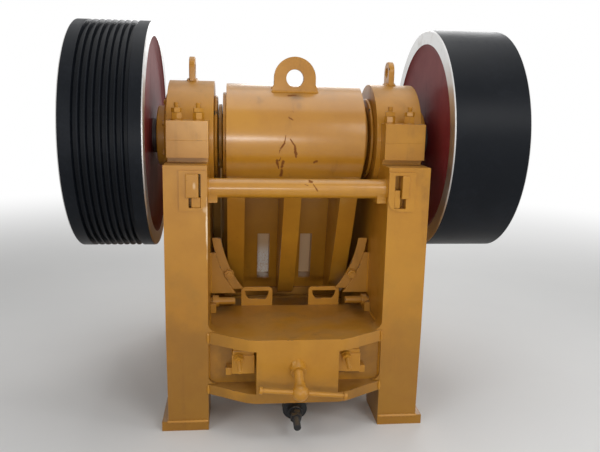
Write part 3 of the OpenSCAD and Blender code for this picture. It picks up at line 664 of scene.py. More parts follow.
BLACK_PAINT = Paint("black_enamel", (0.010, 0.010, 0.011), (0.018, 0.018, 0.019), (0.05, 0.04, 0.03),
                    (0.14, 0.12, 0.10), gloss=0.36, shine=0.3, dust=0.3)
RIM_BLACK = RimPaint("rim_black")
TURNED = TurnedSteel("turned_steel")
SHAFT_STEEL = TurnedSteel("shaft_steel", greased_to=0.70)
LINER = CastSteel("manganese_casting")
# The backs of the liners seen through the jaw's windows, with painted shade on the right window and on the
# tops of both.
PALE_CASTING = CastSteel("pale_casting", (0.95, 0.93, 0.87), (0.68, 0.44, 0.21), rust_share=0.15,
                         metallic=0.0, shade_and_speckle=0.88, shaded_above=(0.550, 0.630), speckle=0.55, shine=0.25)
SPRAYED_LINER = CastSteel("oversprayed_casting", (0.420, 0.200, 0.028), (0.240, 0.120, 0.026),
                          (0.42, 0.27, 0.10), rust_share=0.6, metallic=0.0)
BARE_CASTING = CastSteel("bare_casting", (0.33, 0.32, 0.30), rust_share=0.35)
ZINC = CastSteel("dull_zinc", (0.36, 0.35, 0.33), (0.20, 0.13, 0.08), rust_share=0.5, metallic=0.9)


class Finishes:
    """Every finish as a material, built once."""

    def __init__(self) -> None:
        """Starts with none built."""
        self._built: dict[str, bpy.types.Material] = {}

    def __call__(self, finish: Finish) -> bpy.types.Material:
        """The material of a finish."""
        if finish.name not in self._built:
            self._built[finish.name] = finish.material()
        return self._built[finish.name]


MATERIAL = Finishes()


# Mesh tools


BENT = 0.08
LEVEL = 1e-6


def rounded(bm: bmesh.types.BMesh, edges: Sequence[bmesh.types.BMEdge], width: float,
            segments: int = 2) -> Sequence[bmesh.types.BMFace]:
    """Rounds some edges of a mesh.

    Args:
        bm: the mesh.
        edges: its edges to round.
        width: the width of the rounding.
        segments: the number of faces across it.

    Returns:
        The faces of the rounding.
    """
    return bmesh.ops.bevel(bm, geom=edges, offset=width, offset_type="OFFSET", segments=segments, profile=0.5,
                           affect="EDGES", clamp_overlap=True, material=-1)["faces"]


def cone(bm: bmesh.types.BMesh, sides: int, radii: tuple[float, float], depth: float,
         middle: Matrix | None = None) -> Sequence[bmesh.types.BMVert]:
    """Adds a closed cone, cylinder or prism.

    Args:
        bm: the mesh.
        sides: the number of its sides.
        radii: the radii of its lower and its upper end.
        depth: its length along Z.
        middle: where its middle goes, if not at the origin.

    Returns:
        Its corners.
    """
    return bmesh.ops.create_cone(bm, cap_ends=True, segments=sides, radius1=radii[0], radius2=radii[1],
                                 depth=depth, matrix=Matrix() if middle is None else middle)["verts"]


def lift(height: float) -> Matrix:
    """A move along Z."""
    return Matrix.Translation((0, 0, height))


class Piece:
    """A mesh under construction that becomes one finished object."""

    def __init__(self, name: str, body: Body = Body.FRAME, slot: Slot = Slot.YELLOW,
                 finishes: Sequence[Finish] = (YELLOW,)) -> None:
        """Starts an empty mesh.

        Args:
            name: the name of the finished piece.
            body: the body that it rides on.
            slot: the material slot of the record; it is not used.
            finishes: its finishes, in the order of the faces' material numbers.
        """
        self.name = name
        self.body = body
        self.slot = slot
        self.finishes = list(finishes)
        self.bm = bmesh.new()
        self.edge = self.bm.loops.layers.float.new("edge")

    def take(self, other: bmesh.types.BMesh, place: Matrix | None = None, finish: int = 0) -> None:
        """Adds another mesh to this one and frees it.

        Args:
            other: the mesh to add.
            place: where it goes.
            finish: the number of its finish.
        """
        if place is not None:
            bmesh.ops.transform(other, matrix=place, verts=other.verts)
        for face in other.faces:
            face.material_index = finish
        mesh = bpy.data.meshes.new("part")
        other.to_mesh(mesh)
        other.free()
        self.bm.from_mesh(mesh)
        bpy.data.meshes.remove(mesh)

    def round_edges(self, width: float, segments: int = 2, angle: float = 0.5, corners: bool = False) -> None:
        """Rounds the edges and marks the rounding, so that edges wear and corners gather grime.

        Args:
            width: the width of the rounding.
            segments: the number of faces across it.
            angle: the smallest angle, in radians, that counts as an edge.
            corners: whether inner corners are filled as well.
        """
        sharp = [e for e in self.bm.edges if e.is_manifold and e.calc_face_angle(0.0) > angle
                 and (corners or e.is_convex)]
        made = rounded(self.bm, sharp, width, segments)
        self.bm.normal_update()
        for face in made:
            bent = [e for e in face.edges if e.is_manifold and e.calc_face_angle(0.0) > BENT]
            outer = sum(1 if e.is_convex else -1 for e in bent) >= 0
            for loop in face.loops:
                loop[self.edge] = 1.0 if outer else -1.0

    def finish(self, smooth: float = 30.0, replaces: Sequence[str] = ()) -> None:
        """Makes the object, with its place in its mesh.

        Args:
            smooth: the angle in degrees up to which faces shade smoothly.
            replaces: the CAD nodes that it stands for.
        """
        mesh = bpy.data.meshes.new(self.name)
        self.bm.to_mesh(mesh)
        self.bm.free()
        for finish in self.finishes:
            mesh.materials.append(MATERIAL(finish))
        mesh.shade_smooth()
        mesh.set_sharp_from_angle(angle=math.radians(smooth))
        made = bpy.data.objects.new(self.name, mesh)
        bpy.context.scene.collection.objects.link(made)
        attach(made, self.body.value)
        if replaces:
            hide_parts(*replaces)
        even = made.modifiers.new("even_shading", "WEIGHTED_NORMAL")
        even.keep_sharp = True
        LOG.info("%s: %d faces on %s", self.name, len(mesh.polygons), self.body.value)


def turned_about(axis: Vector) -> Matrix:
    """The turn that lays the Z axis along another."""
    return Vector((0, 0, 1)).rotation_difference(axis.normalized()).to_matrix().to_4x4()


def at(x: float, y: float, z: float, axis: Sequence[float] = (0, 0, 1), spin: float = 0.0) -> Matrix:
    """A place, with Z along an axis.

    Args:
        x: the place along the shaft.
        y: the place from rear to front.
        z: the height.
        axis: the direction that the piece stands in.
        spin: how far the piece is turned about that direction, in radians.

    Returns:
        The matrix.
    """
    return Matrix.Translation((x, y, z)) @ turned_about(Vector(axis)) @ Matrix.Rotation(spin, 4, "Z")


def round_shaft(side: Side, x: float, radius: float = 0.0, angle: float = 0.0, spin: float = 0.0) -> Matrix:
    """A place on a circle about the shaft.

    Args:
        side: the end that it looks to.
        x: its distance from the middle of the crusher.
        radius: the circle's radius.
        angle: where it is on the circle, in radians.
        spin: how far the piece is turned, in radians.

    Returns:
        The matrix.
    """
    return at(side.value * x, SHAFT.y + radius * math.cos(angle), SHAFT.z + radius * math.sin(angle),
              (side.value, 0, 0), spin)


def rearward(dip: float, aside: float = 0.0) -> Vector:
    """The direction to the rear that falls by a number of degrees and may lean to the right."""
    turn = math.radians(dip)
    return Vector((aside, -math.cos(turn), -math.sin(turn)))


@dataclass(frozen=True)
class Fastener:
    """A bolt head or nut with its washer, jam nut and stud, where it has them, standing along +Z."""

    across: float
    height: float
    washer: float = 0.0
    jam: float = 0.0
    stud: float = 0.0
    stud_r: float = 0.010
    threads: int = 6
    washer_t: float = 0.005
    washer_sides: int = 28
    stud_sink: float = 0.001
    jam_turn: float = 0.6
    jam_share: float = 0.94
    chamfer_share: float = 0.12
    chamfer_most: float = 0.0022

    def mesh(self) -> bmesh.types.BMesh:
        """Builds the nut, its washer and the threaded end.

        Returns:
            The mesh.
        """
        bm = bmesh.new()
        base = 0.0
        if self.washer > 0:
            self._prism(bm, self.washer / 2, base, self.washer_t, self.washer_sides)
            base += self.washer_t
        self._prism(bm, self.across / math.sqrt(3), base, self.height, 6)
        base += self.height
        if self.jam > 0:
            self._prism(bm, self.jam_share * self.across / math.sqrt(3), base, self.jam, 6, self.jam_turn)
            base += self.jam
        if self.stud > 0:
            Thread(self.stud_r, self.stud, self.threads).add(bm, base - self.stud_sink)
        return bm

    def _prism(self, bm: bmesh.types.BMesh, radius: float, low: float, height: float, sides: int,
               turn: float = 0.0) -> None:
        """Adds a prism with chamfered ends.

        Args:
            bm: the mesh.
            radius: its radius over the corners.
            low: its lower height.
            height: how tall it is.
            sides: the number of its sides.
            turn: how far it is turned, in radians.
        """
        middle = lift(low + height / 2) @ Matrix.Rotation(turn, 4, "Z")
        verts = set(cone(bm, sides, (radius, radius), height, middle))
        rims = [e for e in bm.edges if e.verts[0] in verts and e.verts[1] in verts
                and abs(e.verts[0].co.z - e.verts[1].co.z) < LEVEL]
        rounded(bm, rims, min(height * self.chamfer_share, self.chamfer_most))


@dataclass(frozen=True)
class Thread:
    """A threaded length, as ridges along +Z."""

    radius: float
    length: float
    ridges: int
    depth: float = 0.09
    sides: int = 16

    def add(self, bm: bmesh.types.BMesh, low: float) -> None:
        """Adds the thread to a mesh.

        Args:
            bm: the mesh.
            low: the height that it starts at.
        """
        inner = 1.0 - self.depth
        ring = bmesh.ops.create_circle(bm, cap_ends=False, segments=self.sides, radius=self.radius * inner,
                                       matrix=lift(low))
        start = list({e for v in ring["verts"] for e in v.link_edges})
        edges, made = start, list(ring["verts"])
        step = self.length / (2 * self.ridges)
        for i in range(2 * self.ridges):
            out = bmesh.ops.extrude_edge_only(bm, edges=edges)
            verts = [g for g in out["geom"] if isinstance(g, bmesh.types.BMVert)]
            edges = [g for g in out["geom"] if isinstance(g, bmesh.types.BMEdge)]
            scale = 1.0 / inner if i % 2 == 0 else inner
            bmesh.ops.translate(bm, verts=verts, vec=(0, 0, step))
            bmesh.ops.scale(bm, verts=verts, vec=(scale, scale, 1))
            made += verts
        bmesh.ops.contextual_create(bm, geom=[e for e in edges if e.is_boundary])
        bmesh.ops.contextual_create(bm, geom=[e for e in start if e.is_boundary])
        faces = list({f for v in made for f in v.link_faces})
        bmesh.ops.recalc_face_normals(bm, faces=faces)


Seam = Sequence[tuple[float, float, float]]


def upright(x: float, y: float, span: tuple[float, float]) -> Seam:
    """An upright seam between two heights."""
    return [(x, y, z) for z in span]


@dataclass(frozen=True)
class Bead:
    """A weld bead along a path, with the ripples of its runs."""

    radius: float
    step: float
    end: float = 0.55

    def mesh(self, path: Seam) -> bmesh.types.BMesh:
        """Builds the bead.

        Args:
            path: the seam's corners.

        Returns:
            The mesh, in place.
        """
        points = self._walk([Vector(p) for p in path])
        data = bpy.data.curves.new("bead", "CURVE")
        data.dimensions = "3D"
        data.bevel_depth = self.radius
        data.bevel_resolution = 1
        data.use_fill_caps = True
        spline = data.splines.new("POLY")
        spline.points.add(len(points) - 1)
        for i, (point, place) in enumerate(zip(spline.points, points)):
            point.co = (*place, 1.0)
            point.radius = self._swell(i)
        spline.points[0].radius = self.end
        spline.points[-1].radius = self.end
        holder = bpy.data.objects.new("bead", data)
        mesh = bpy.data.meshes.new_from_object(holder)
        bm = bmesh.new()
        bm.from_mesh(mesh)
        bpy.data.objects.remove(holder)
        bpy.data.curves.remove(data)
        bpy.data.meshes.remove(mesh)
        return bm

    def _swell(self, i: int) -> float:
        """The share of the radius at a point: a ripple at each step on two slower waves."""
        return 1.0 + 0.13 * (-1) ** i + 0.07 * math.sin(i * 1.7) + 0.05 * math.sin(i * 0.31)

    def _walk(self, corners: Sequence[Vector]) -> list[Vector]:
        """Points a step apart along the path through the corners."""
        points = [corners[0]]
        for a, b in zip(corners, corners[1:]):
            count = max(1, round((b - a).length / self.step))
            points += [a.lerp(b, i / count) for i in range(1, count + 1)]
        return points


# Carried-over solids


@dataclass(frozen=True)
class Dressing:
    """How a CAD solid gets its rounded edges and its finish."""

    node: str
    body: Body
    finish: Finish = YELLOW
    slot: Slot = Slot.YELLOW
    width: float = 0.003
    segments: int = 2
    angle: float = 0.5
    corners: bool = False
    rear_finish: Finish | None = None
    merge: float = 1e-5
    flat: float = math.radians(0.5)
    facing: float = 0.9
    smooth: float = 34.0

    def build(self) -> None:
        """Copies the solid, merges its facets, rounds its edges and dresses it."""
        finishes = [self.finish] + ([self.rear_finish] if self.rear_finish else [])
        piece = Piece(f"{self.node}_finished", self.body, self.slot, finishes)
        piece.bm.from_mesh(frame["nodes"][self.node].data)
        bm = piece.bm
        bmesh.ops.remove_doubles(bm, verts=bm.verts, dist=self.merge)
        bmesh.ops.dissolve_limit(bm, angle_limit=self.flat, verts=bm.verts, edges=bm.edges, delimit=set())
        bmesh.ops.recalc_face_normals(bm, faces=bm.faces)
        for face in bm.faces:
            face.material_index = 1 if self.rear_finish and face.normal.y < -self.facing else 0
        piece.round_edges(self.width, self.segments, self.angle, self.corners)
        piece.finish(self.smooth, [self.node])


@dataclass
class Carried:
    """The solids that keep their CAD shape, with rounded edges and a finish."""

    walls: Sequence[str] = ("left_side_wall", "right_side_wall")
    marked: Sequence[str] = ("rear_beam", "slot_keys")
    welded: Sequence[str] = (
        "front_wall", "cap_eyes", "adjusting_handle", "pocket_blocks", "left_shim", "right_shim",
    )
    cast: Sequence[str] = (
        "left_bearing_base", "right_bearing_base", "left_bearing_cap", "right_bearing_cap", "inner_covers",
        "outer_covers",
    )
    sheltered: Sequence[str] = ("toggle_block", "spring_bracket", "keeper_bars", "corner_plates")
    jaw_fittings: Sequence[str] = ("jaw_wedge", "lifting_lug", "jaw_covers")
    liners: Sequence[tuple[str, Body]] = (("fixed_jaw_plate", Body.FRAME), ("swing_jaw_plate", Body.JAW))
    cheeks: Sequence[str] = ("left_cheek_plate", "right_cheek_plate")
    steel: Sequence[tuple[str, Body]] = (
        ("main_bearings", Body.FRAME), ("jaw_bearings", Body.JAW), ("rod_pin", Body.JAW),
    )
    sprayed: Sequence[tuple[str, Body]] = (("toggle_plate", Body.FRAME), ("toggle_pad", Body.JAW))
    black: Sequence[tuple[str, Body]] = (
        ("tension_rod", Body.JAW), ("spring_cup", Body.JAW), ("tension_spring", Body.FRAME),
    )

    def build(self) -> None:
        """Builds every carried-over solid."""
        for node in self.walls:
            Dressing(node, Body.FRAME, FRAME_YELLOW, width=0.007, segments=3).build()
        for node in self.marked:
            Dressing(node, Body.FRAME, FRAME_YELLOW).build()
        for node in self.welded:
            Dressing(node, Body.FRAME).build()
        Dressing("tie_tube", Body.FRAME, TUBE_YELLOW).build()
        for node in self.cast:
            Dressing(node, Body.FRAME, width=0.006, segments=3, corners=True).build()
        for node in self.sheltered:
            Dressing(node, Body.FRAME, DARK_YELLOW, width=0.0025).build()
        for node in self.jaw_fittings:
            Dressing(node, Body.JAW).build()
        Dressing("swing_jaw", Body.JAW, BARREL_YELLOW, width=0.006, segments=3, corners=True).build()
        Dressing("throw_rings", Body.SHAFT, DARK_YELLOW, width=0.002).build()
        Dressing("eccentric_shaft", Body.SHAFT, SHAFT_STEEL, Slot.MACHINED, width=0.003).build()
        for node, body in self.liners:
            Dressing(node, body, LINER, Slot.MANGANESE, width=0.004, rear_finish=PALE_CASTING).build()
        for node in self.cheeks:
            Dressing(node, Body.FRAME, SPRAYED_LINER, Slot.MANGANESE, width=0.004).build()
        for node, body in self.steel:
            Dressing(node, body, BARE_CASTING, Slot.MACHINED, width=0.002).build()
        for node, body in self.sprayed:
            Dressing(node, body, DARK_YELLOW, Slot.MACHINED, width=0.003).build()
        for node, body in self.black:
            Dressing(node, body, BLACK_PAINT, Slot.BLACK, width=0.002, angle=0.9).build()


# Wheels


@dataclass
class Wheel:
    """A heavy wheel turned from its section: black tread, bare rim faces and a red web."""

    side: Side
    node: str
    grooves: int = 0
    radius: float = 0.466
    width: float = 0.300
    rim: float = 0.058
    start: float = 0.574
    web: float = 0.044
    inset: float = 0.014
    hub: float = 0.138
    hub_back: float = 0.042
    bore: float = 0.072
    pitch: float = 0.0255
    depth: float = 0.017
    fillet: float = 0.030
    edge: float = 0.004
    groove_top: float = 0.41
    groove_floor: float = 0.24
    steps: int = 168
    facing: float = 0.6
    smooth: float = 40.0

    def build(self) -> None:
        """Spins the section and sorts its faces into finishes."""
        piece = Piece(f"{self.node}_finished", Body.SHAFT, Slot.WHEEL, [WEB_RED, RIM_BLACK, TURNED])
        bm = piece.bm
        loop = [bm.verts.new((x, 0.0, r)) for x, r in self._section()]
        edges = [bm.edges.new((a, b)) for a, b in zip(loop, loop[1:] + loop[:1])]
        bmesh.ops.spin(bm, geom=loop + edges, cent=(0, 0, 0), axis=(1, 0, 0), dvec=(0, 0, 0), angle=math.tau,
                       steps=self.steps, use_merge=True, use_normal_flip=False, use_duplicate=False)
        bmesh.ops.remove_doubles(bm, verts=bm.verts, dist=1e-6)
        bmesh.ops.recalc_face_normals(bm, faces=bm.faces)
        self._sort_faces(bm)
        place = Matrix.Translation((0, SHAFT.y, SHAFT.z)) @ Matrix.Diagonal((self.side.value, 1, 1, 1))
        bmesh.ops.transform(bm, matrix=place, verts=bm.verts)
        if self.side is Side.LEFT:
            bmesh.ops.reverse_faces(bm, faces=bm.faces)
        piece.finish(self.smooth, [self.node])

    def _section(self) -> list[tuple[float, float]]:
        """The section as places along the shaft and radii, outwards from the web.

        Returns:
            The corners, with rounded fillets and chamfered rim edges.
        """
        inner = self.radius - self.rim
        edge, s = self.edge, self.start
        points = [(s + self.inset, self.bore), (s + self.inset, inner - self.fillet)]
        points += [(s + edge, inner - edge), (s, inner), (s, self.radius - edge), (s + edge, self.radius)]
        first = s + self.width / 2 - self.grooves * self.pitch / 2
        for i in range(self.grooves):
            x = first + (i + 0.5) * self.pitch
            top, floor = self.groove_top * self.pitch, self.groove_floor * self.pitch
            points += [(x - top, self.radius), (x - floor, self.radius - self.depth)]
            points += [(x + floor, self.radius - self.depth), (x + top, self.radius)]
        end = s + self.width
        points += [(end - edge, self.radius), (end, self.radius - edge), (end, inner)]
        back = s + self.inset + self.web
        points += self._arc((back + self.fillet, inner - self.fillet), 90, 180)
        points += self._arc((back + self.fillet, self.hub + self.fillet), 180, 270)
        last = end - self.hub_back
        points += [(last - edge, self.hub), (last, self.hub - edge), (last, self.bore)]
        return points

    def _arc(self, centre: tuple[float, float], start: float, end: float,
             steps: int = 6) -> list[tuple[float, float]]:
        """Points round a fillet, from one angle in degrees to another."""
        turns = [math.radians(start + (end - start) * i / steps) for i in range(steps + 1)]
        return [(centre[0] + self.fillet * math.cos(a), centre[1] + self.fillet * math.sin(a)) for a in turns]

    def _sort_faces(self, bm: bmesh.types.BMesh) -> None:
        """Gives the tread its black, the rim's side faces and the hub's end their bare steel."""
        inner = self.radius - self.rim
        slack = 0.001
        black, bare = 1, 2
        for face in bm.faces:
            x = sum(v.co.x for v in face.verts) / len(face.verts)
            r = sum(math.hypot(v.co.y, v.co.z) for v in face.verts) / len(face.verts)
            flat = abs(face.normal.x) > self.facing
            side = min(x - self.start, self.start + self.width - x) < self.edge
            if r > inner - slack and flat and side:
                face.material_index = bare
            elif r > inner + 10 * slack:
                face.material_index = black
            elif r < self.hub + slack and flat and x > self.start + self.width / 3:
                face.material_index = bare


# Fastenings and seams


@dataclass
class BearingBolts:
    """The studs that hold the bearing caps, and the small bolts round the outer covers."""

    ear_h: float = 0.076
    left_x: Sequence[float] = (0.386, 0.470)
    right_x: Sequence[float] = (0.369, 0.449)
    stud_reach: float = 0.268
    stud: Fastener = Fastener(0.038, 0.026, washer=0.046, jam=0.018, stud=0.020, washer_t=0.004)
    cover: Fastener = Fastener(0.019, 0.009)
    cover_t: float = 0.014
    cover_r: float = 0.153
    cover_count: int = 8

    def build(self) -> None:
        """Builds the cap studs, each nut turned its own way, and the cover bolts."""
        studs = Piece("bearing_cap_studs")
        covers = Piece("bearing_cover_bolts")
        face_x = Extent.of("right_bearing_cap").high.x + self.cover_t
        for side in Side:
            for index, x in enumerate(self.left_x if side is Side.LEFT else self.right_x):
                for row, reach in enumerate((-self.stud_reach, self.stud_reach)):
                    spin = 0.3 + index * 0.5 + row * 0.8 + (0.4 if side is Side.LEFT else 0.0)
                    place = at(side.value * x, SHAFT.y + reach, SHAFT.z + self.ear_h, spin=spin)
                    studs.take(self.stud.mesh(), place)
            for k in range(self.cover_count):
                turn = math.tau * (k + 0.5) / self.cover_count
                covers.take(self.cover.mesh(), round_shaft(side, face_x, self.cover_r, turn, turn))
        studs.finish()
        covers.finish()


@dataclass
class FrameBolts:
    """The bolts of the cheek plates, the curved bars and the blocks in the beam's pockets."""

    wall_face: float = 0.400
    cheek: Fastener = Fastener(0.046, 0.024, washer=0.060, stud=0.018, stud_r=0.012, threads=4)
    cheek_places: Sequence[tuple[float, float]] = (
        (0.165, 0.620), (0.075, 0.900), (0.330, 0.620), (0.360, 0.900))
    bar: Fastener = Fastener(0.036, 0.016, washer=0.044, stud=0.008, threads=2)
    bar_places: Sequence[tuple[float, float]] = ((-0.270, 0.572), (0.276, 0.570))
    bar_sink: float = 0.012
    pocket: Fastener = Fastener(0.034, 0.018, washer=0.042, stud=0.062, stud_r=0.0085, threads=14)
    pocket_places: Sequence[tuple[float, float]] = ((-0.230, 0.330), (0.197, 0.333))
    pocket_sink: float = 0.002
    droop: float = 19.4806
    lean: float = 0.05

    def build(self) -> None:
        """Builds the bolts."""
        piece = Piece("frame_bolts")
        for side in Side:
            for index, (y, z) in enumerate(self.cheek_places):
                place = at(side.value * self.wall_face, y, z, (side.value, 0, 0), index * 0.7)
                piece.take(self.cheek.mesh(), place)
        bar_y = Extent.of("corner_plates").high.y - self.bar_sink
        for x, z in self.bar_places:
            piece.take(self.bar.mesh(), at(x, bar_y, z, (0, -1, 0), 0.3))
        block_y = Extent.of("pocket_blocks").low.y + self.pocket_sink
        for x, z in self.pocket_places:
            piece.take(self.pocket.mesh(), at(x, block_y, z, rearward(self.droop, self.lean), 0.2))
        piece.finish()


@dataclass
class RodEnd:
    """The threaded end of the tension rod with its two nuts behind the spring's cup."""

    fall: float = 9.2
    reach: float = 0.8631
    cup_face: float = 0.7700
    nut: Fastener = Fastener(0.044, 0.022, jam=0.018)
    thread_r: float = 0.0148
    thread_from: float = 0.038
    overhang: float = 0.002
    ridges: int = 14

    def build(self) -> None:
        """Builds the nuts and the thread on the jaw's rod."""
        along = rearward(self.fall)
        seat = Extent.of("rod_pin").middle + along * self.cup_face
        piece = Piece("tension_rod_nuts", Body.JAW, Slot.BLACK, [BLACK_PAINT])
        piece.take(self.nut.mesh(), at(*seat, along, 0.25))
        length = self.reach + self.overhang - self.cup_face - self.thread_from
        bm = bmesh.new()
        Thread(self.thread_r, length, self.ridges).add(bm, 0.0)
        piece.take(bm, at(*(seat + along * self.thread_from), along))
        piece.finish()


@dataclass
class AdjustingScrew:
    """The adjusting screw with its thread, and the ball at its end that the handle runs through."""

    dip: float = 28.0
    panel_y: float = -0.750
    rise: float = 0.148
    inside: float = 0.070
    stem_r: float = 0.0185
    thread_r: float = 0.0195
    thread_from: float = 0.018
    thread_length: float = 0.066
    ridges: int = 14
    ball_at: float = 0.118
    ball_r: float = 0.0320
    neck_radii: tuple[float, float] = (0.021275, 0.02304)
    neck_length: float = 0.022
    neck_at: float = 0.089
    sides: int = 40
    smooth: float = 38.0

    def build(self) -> None:
        """Builds the screw where the CAD one is."""
        bm = bmesh.new()
        length = self.inside + self.ball_at
        cone(bm, self.sides, (self.stem_r, self.stem_r), length, lift(length / 2 - self.inside))
        bmesh.ops.create_uvsphere(bm, u_segments=48, v_segments=26, radius=self.ball_r,
                                  matrix=lift(self.ball_at))
        cone(bm, self.sides, self.neck_radii, self.neck_length, lift(self.neck_at))
        Thread(self.thread_r, self.thread_length, self.ridges).add(bm, self.thread_from)
        root = (0, self.panel_y, Extent.of("rear_beam").low.z + self.rise)
        piece = Piece("adjusting_screw_finished")
        piece.take(bm, at(*root, rearward(self.dip)))
        piece.finish(self.smooth, ["adjusting_screw"])


@dataclass
class PocketCorners:
    """The rounded outer corners of the beam's pockets."""

    wall: float = 0.350
    face: float = -0.648
    thick: float = 0.018
    top: float = 0.374
    bottom: float = 0.200
    top_reach: float = 0.018
    bottom_reach: float = 0.034

    def build(self) -> None:
        """Fills the four corners."""
        piece = Piece("pocket_corners", finishes=[FRAME_YELLOW])
        for side in Side:
            for height, reach, up in ((self.top, self.top_reach, -1), (self.bottom, self.bottom_reach, 1)):
                corner = self._corner(reach)
                place = Matrix.Translation((side.value * self.wall, self.face, height))
                flip = Matrix.Diagonal((-side.value, 1, up, 1))
                bmesh.ops.transform(corner, matrix=place @ flip, verts=corner.verts)
                bmesh.ops.recalc_face_normals(corner, faces=corner.faces)
                piece.take(corner)
        piece.finish()

    def _corner(self, reach: float) -> bmesh.types.BMesh:
        """A filling with a hollow round face, with its corner at the origin.

        Args:
            reach: how far it runs along both sides.

        Returns:
            The mesh, which runs along +X, +Z and +Y.
        """
        bm = bmesh.new()
        start = bm.verts.new((reach, 0, 0))
        bmesh.ops.spin(bm, geom=[start], cent=(reach, 0, reach), axis=(0, 1, 0), dvec=(0, 0, 0),
                       angle=math.pi / 2, steps=8)
        bm.verts.ensure_lookup_table()
        last = bm.verts[-1]
        tip = bm.verts.new((0, 0, 0))
        bm.edges.new((last, tip))
        bm.edges.new((tip, start))
        face = bmesh.ops.contextual_create(bm, geom=bm.edges[:])["faces"]
        made = bmesh.ops.extrude_face_region(bm, geom=face)
        verts = [g for g in made["geom"] if isinstance(g, bmesh.types.BMVert)]
        bmesh.ops.translate(bm, verts=verts, vec=(0, self.thick, 0))
        return bm


@dataclass
class BlockPacking:
    """The packing plates between the blocks and the roof of the beam's pockets."""

    inner: float = 0.170
    width: float = 0.084
    plates: Sequence[float] = (0.016, 0.010)
    inset: float = 0.004
    edge: float = 0.0015

    def build(self) -> None:
        """Lays the plates on both blocks."""
        piece = Piece("block_packing")
        blocks = Extent.of("pocket_blocks")
        depth = blocks.high.y - blocks.low.y - 2 * self.inset
        for side in Side:
            low = blocks.high.z
            for index, thick in enumerate(self.plates):
                plate = bmesh.new()
                shift = self.inset * index
                x = side.value * (self.inner + self.width / 2)
                middle = Vector((x, blocks.middle.y + shift, low + thick / 2))
                place = Matrix.Translation(middle) @ Matrix.Diagonal((self.width - shift, depth, thick, 1))
                bmesh.ops.create_cube(plate, size=1.0, matrix=place)
                rounded(plate, plate.edges[:], self.edge)
                piece.take(plate)
                low += thick
        piece.finish()


@dataclass
class Welds:
    """The weld beads of the frame, the lifting eyes and the lifting lug."""

    wall: float = 0.350
    wall_face: float = 0.400
    post_out: float = 0.511
    post_y: float = -0.650
    post_front: float = -0.578
    pad_top: float = 0.040
    beam_top: float = 0.420
    shelf_t: float = 0.030
    shelf_short: float = 0.110
    proud: float = 0.001
    pocket_y: float = -0.631
    below_pocket: tuple[float, float] = (0.160, 0.196)
    above_pocket: tuple[float, float] = (0.374, 0.416)
    in_pocket: tuple[float, float] = (0.200, 0.370)
    rear_post: tuple[float, float] = (0.150, 1.035)
    front_post: tuple[float, float] = (0.150, 1.030)
    gusset: tuple[float, float] = (0.487, 0.667)
    eye_half: float = 0.014
    eye_turn: float = 11.0
    ring_steps: int = 24
    thin: Bead = Bead(0.0045, 0.0065)
    wide: Bead = Bead(0.0065, 0.0085)
    flared: Bead = Bead(0.0095, 0.0110)
    smooth: float = 50.0

    def build(self) -> None:
        """Lays the beads on both sides of the frame and along the lug."""
        seams = [(self.wide, seam) for seam in self._frame_seams()]
        seams.append((self.thin, upright(self.wall, Extent.of("corner_plates").low.y, self.gusset)))
        seams += [(self.flared, seam) for seam in self._eye_seams()]
        seams.append((self.thin, self._tube_ring()))
        piece = Piece("frame_welds")
        for side in Side:
            for bead, seam in seams:
                piece.take(bead.mesh([(side.value * x, y, z) for x, y, z in seam]))
        piece.finish(self.smooth)
        piece = Piece("lug_welds", Body.JAW)
        for seam in self._lug_seams():
            piece.take(self.wide.mesh(seam))
        piece.finish(self.smooth)

    def _frame_seams(self) -> list[Seam]:
        """The seams between posts, walls, beam, ribs and feet on the right side."""
        wall, face, out, pad, top = self.wall, self.wall_face, self.post_out, self.pad_top, self.beam_top
        back, rear, front = self.post_y, self.post_front, -self.post_front
        shelf = Extent.of("rear_beam").high.y - self.shelf_short
        under = top - self.shelf_t
        return [
            [(wall, rear, top), (wall, shelf, top)],
            upright(wall, back - self.proud, self.below_pocket),
            upright(wall, back - self.proud, self.above_pocket),
            upright(wall, self.pocket_y, self.in_pocket),
            [(wall, back, pad), (out, back, pad), (out, rear, pad), (face, rear, pad)],
            [(out, -back, pad), (out, front, pad)],
            upright(face, rear, self.rear_post),
            upright(face, front, self.front_post),
            [(face, rear, top), (face, front, top)],
            [(face, rear, under), (face, front, under)],
        ]

    def _eye_seams(self) -> list[Seam]:
        """The flared foot of the eye on the right bearing cap, along both of its faces."""
        cap = Extent.of("right_bearing_cap")
        radius, middle = cap.high.z - SHAFT.z, cap.middle.x
        arc = [math.radians(self.eye_turn * (i / 4 - 1)) for i in range(9)]
        return [[(x, SHAFT.y + radius * math.sin(a), SHAFT.z + radius * math.cos(a)) for a in arc]
                for x in (middle - self.eye_half, middle + self.eye_half)]

    def _tube_ring(self) -> Seam:
        """The closed ring where the tie tube meets its right end plate."""
        tube = Extent.of("tie_tube")
        radius = (tube.high.y - tube.low.y) / 2
        middle = Vector((self.wall - self.proud, tube.middle.y, tube.high.z - radius))
        turns = [math.tau * i / self.ring_steps for i in range(self.ring_steps + 1)]
        return [tuple(middle + radius * Vector((0, math.cos(a), math.sin(a)))) for a in turns]

    def _lug_seams(self) -> list[Seam]:
        """The seams along both faces of the lug, on the jaw's barrel."""
        lug = Extent.of("lifting_lug")
        radius = Extent.of("swing_jaw").high.z - THROW.z
        feet = [(y, THROW.z + math.sqrt(radius ** 2 - (y - THROW.y) ** 2)) for y in (lug.low.y, lug.high.y)]
        return [[(lug.low.x, y, z), (lug.high.x, y, z)] for y, z in feet]


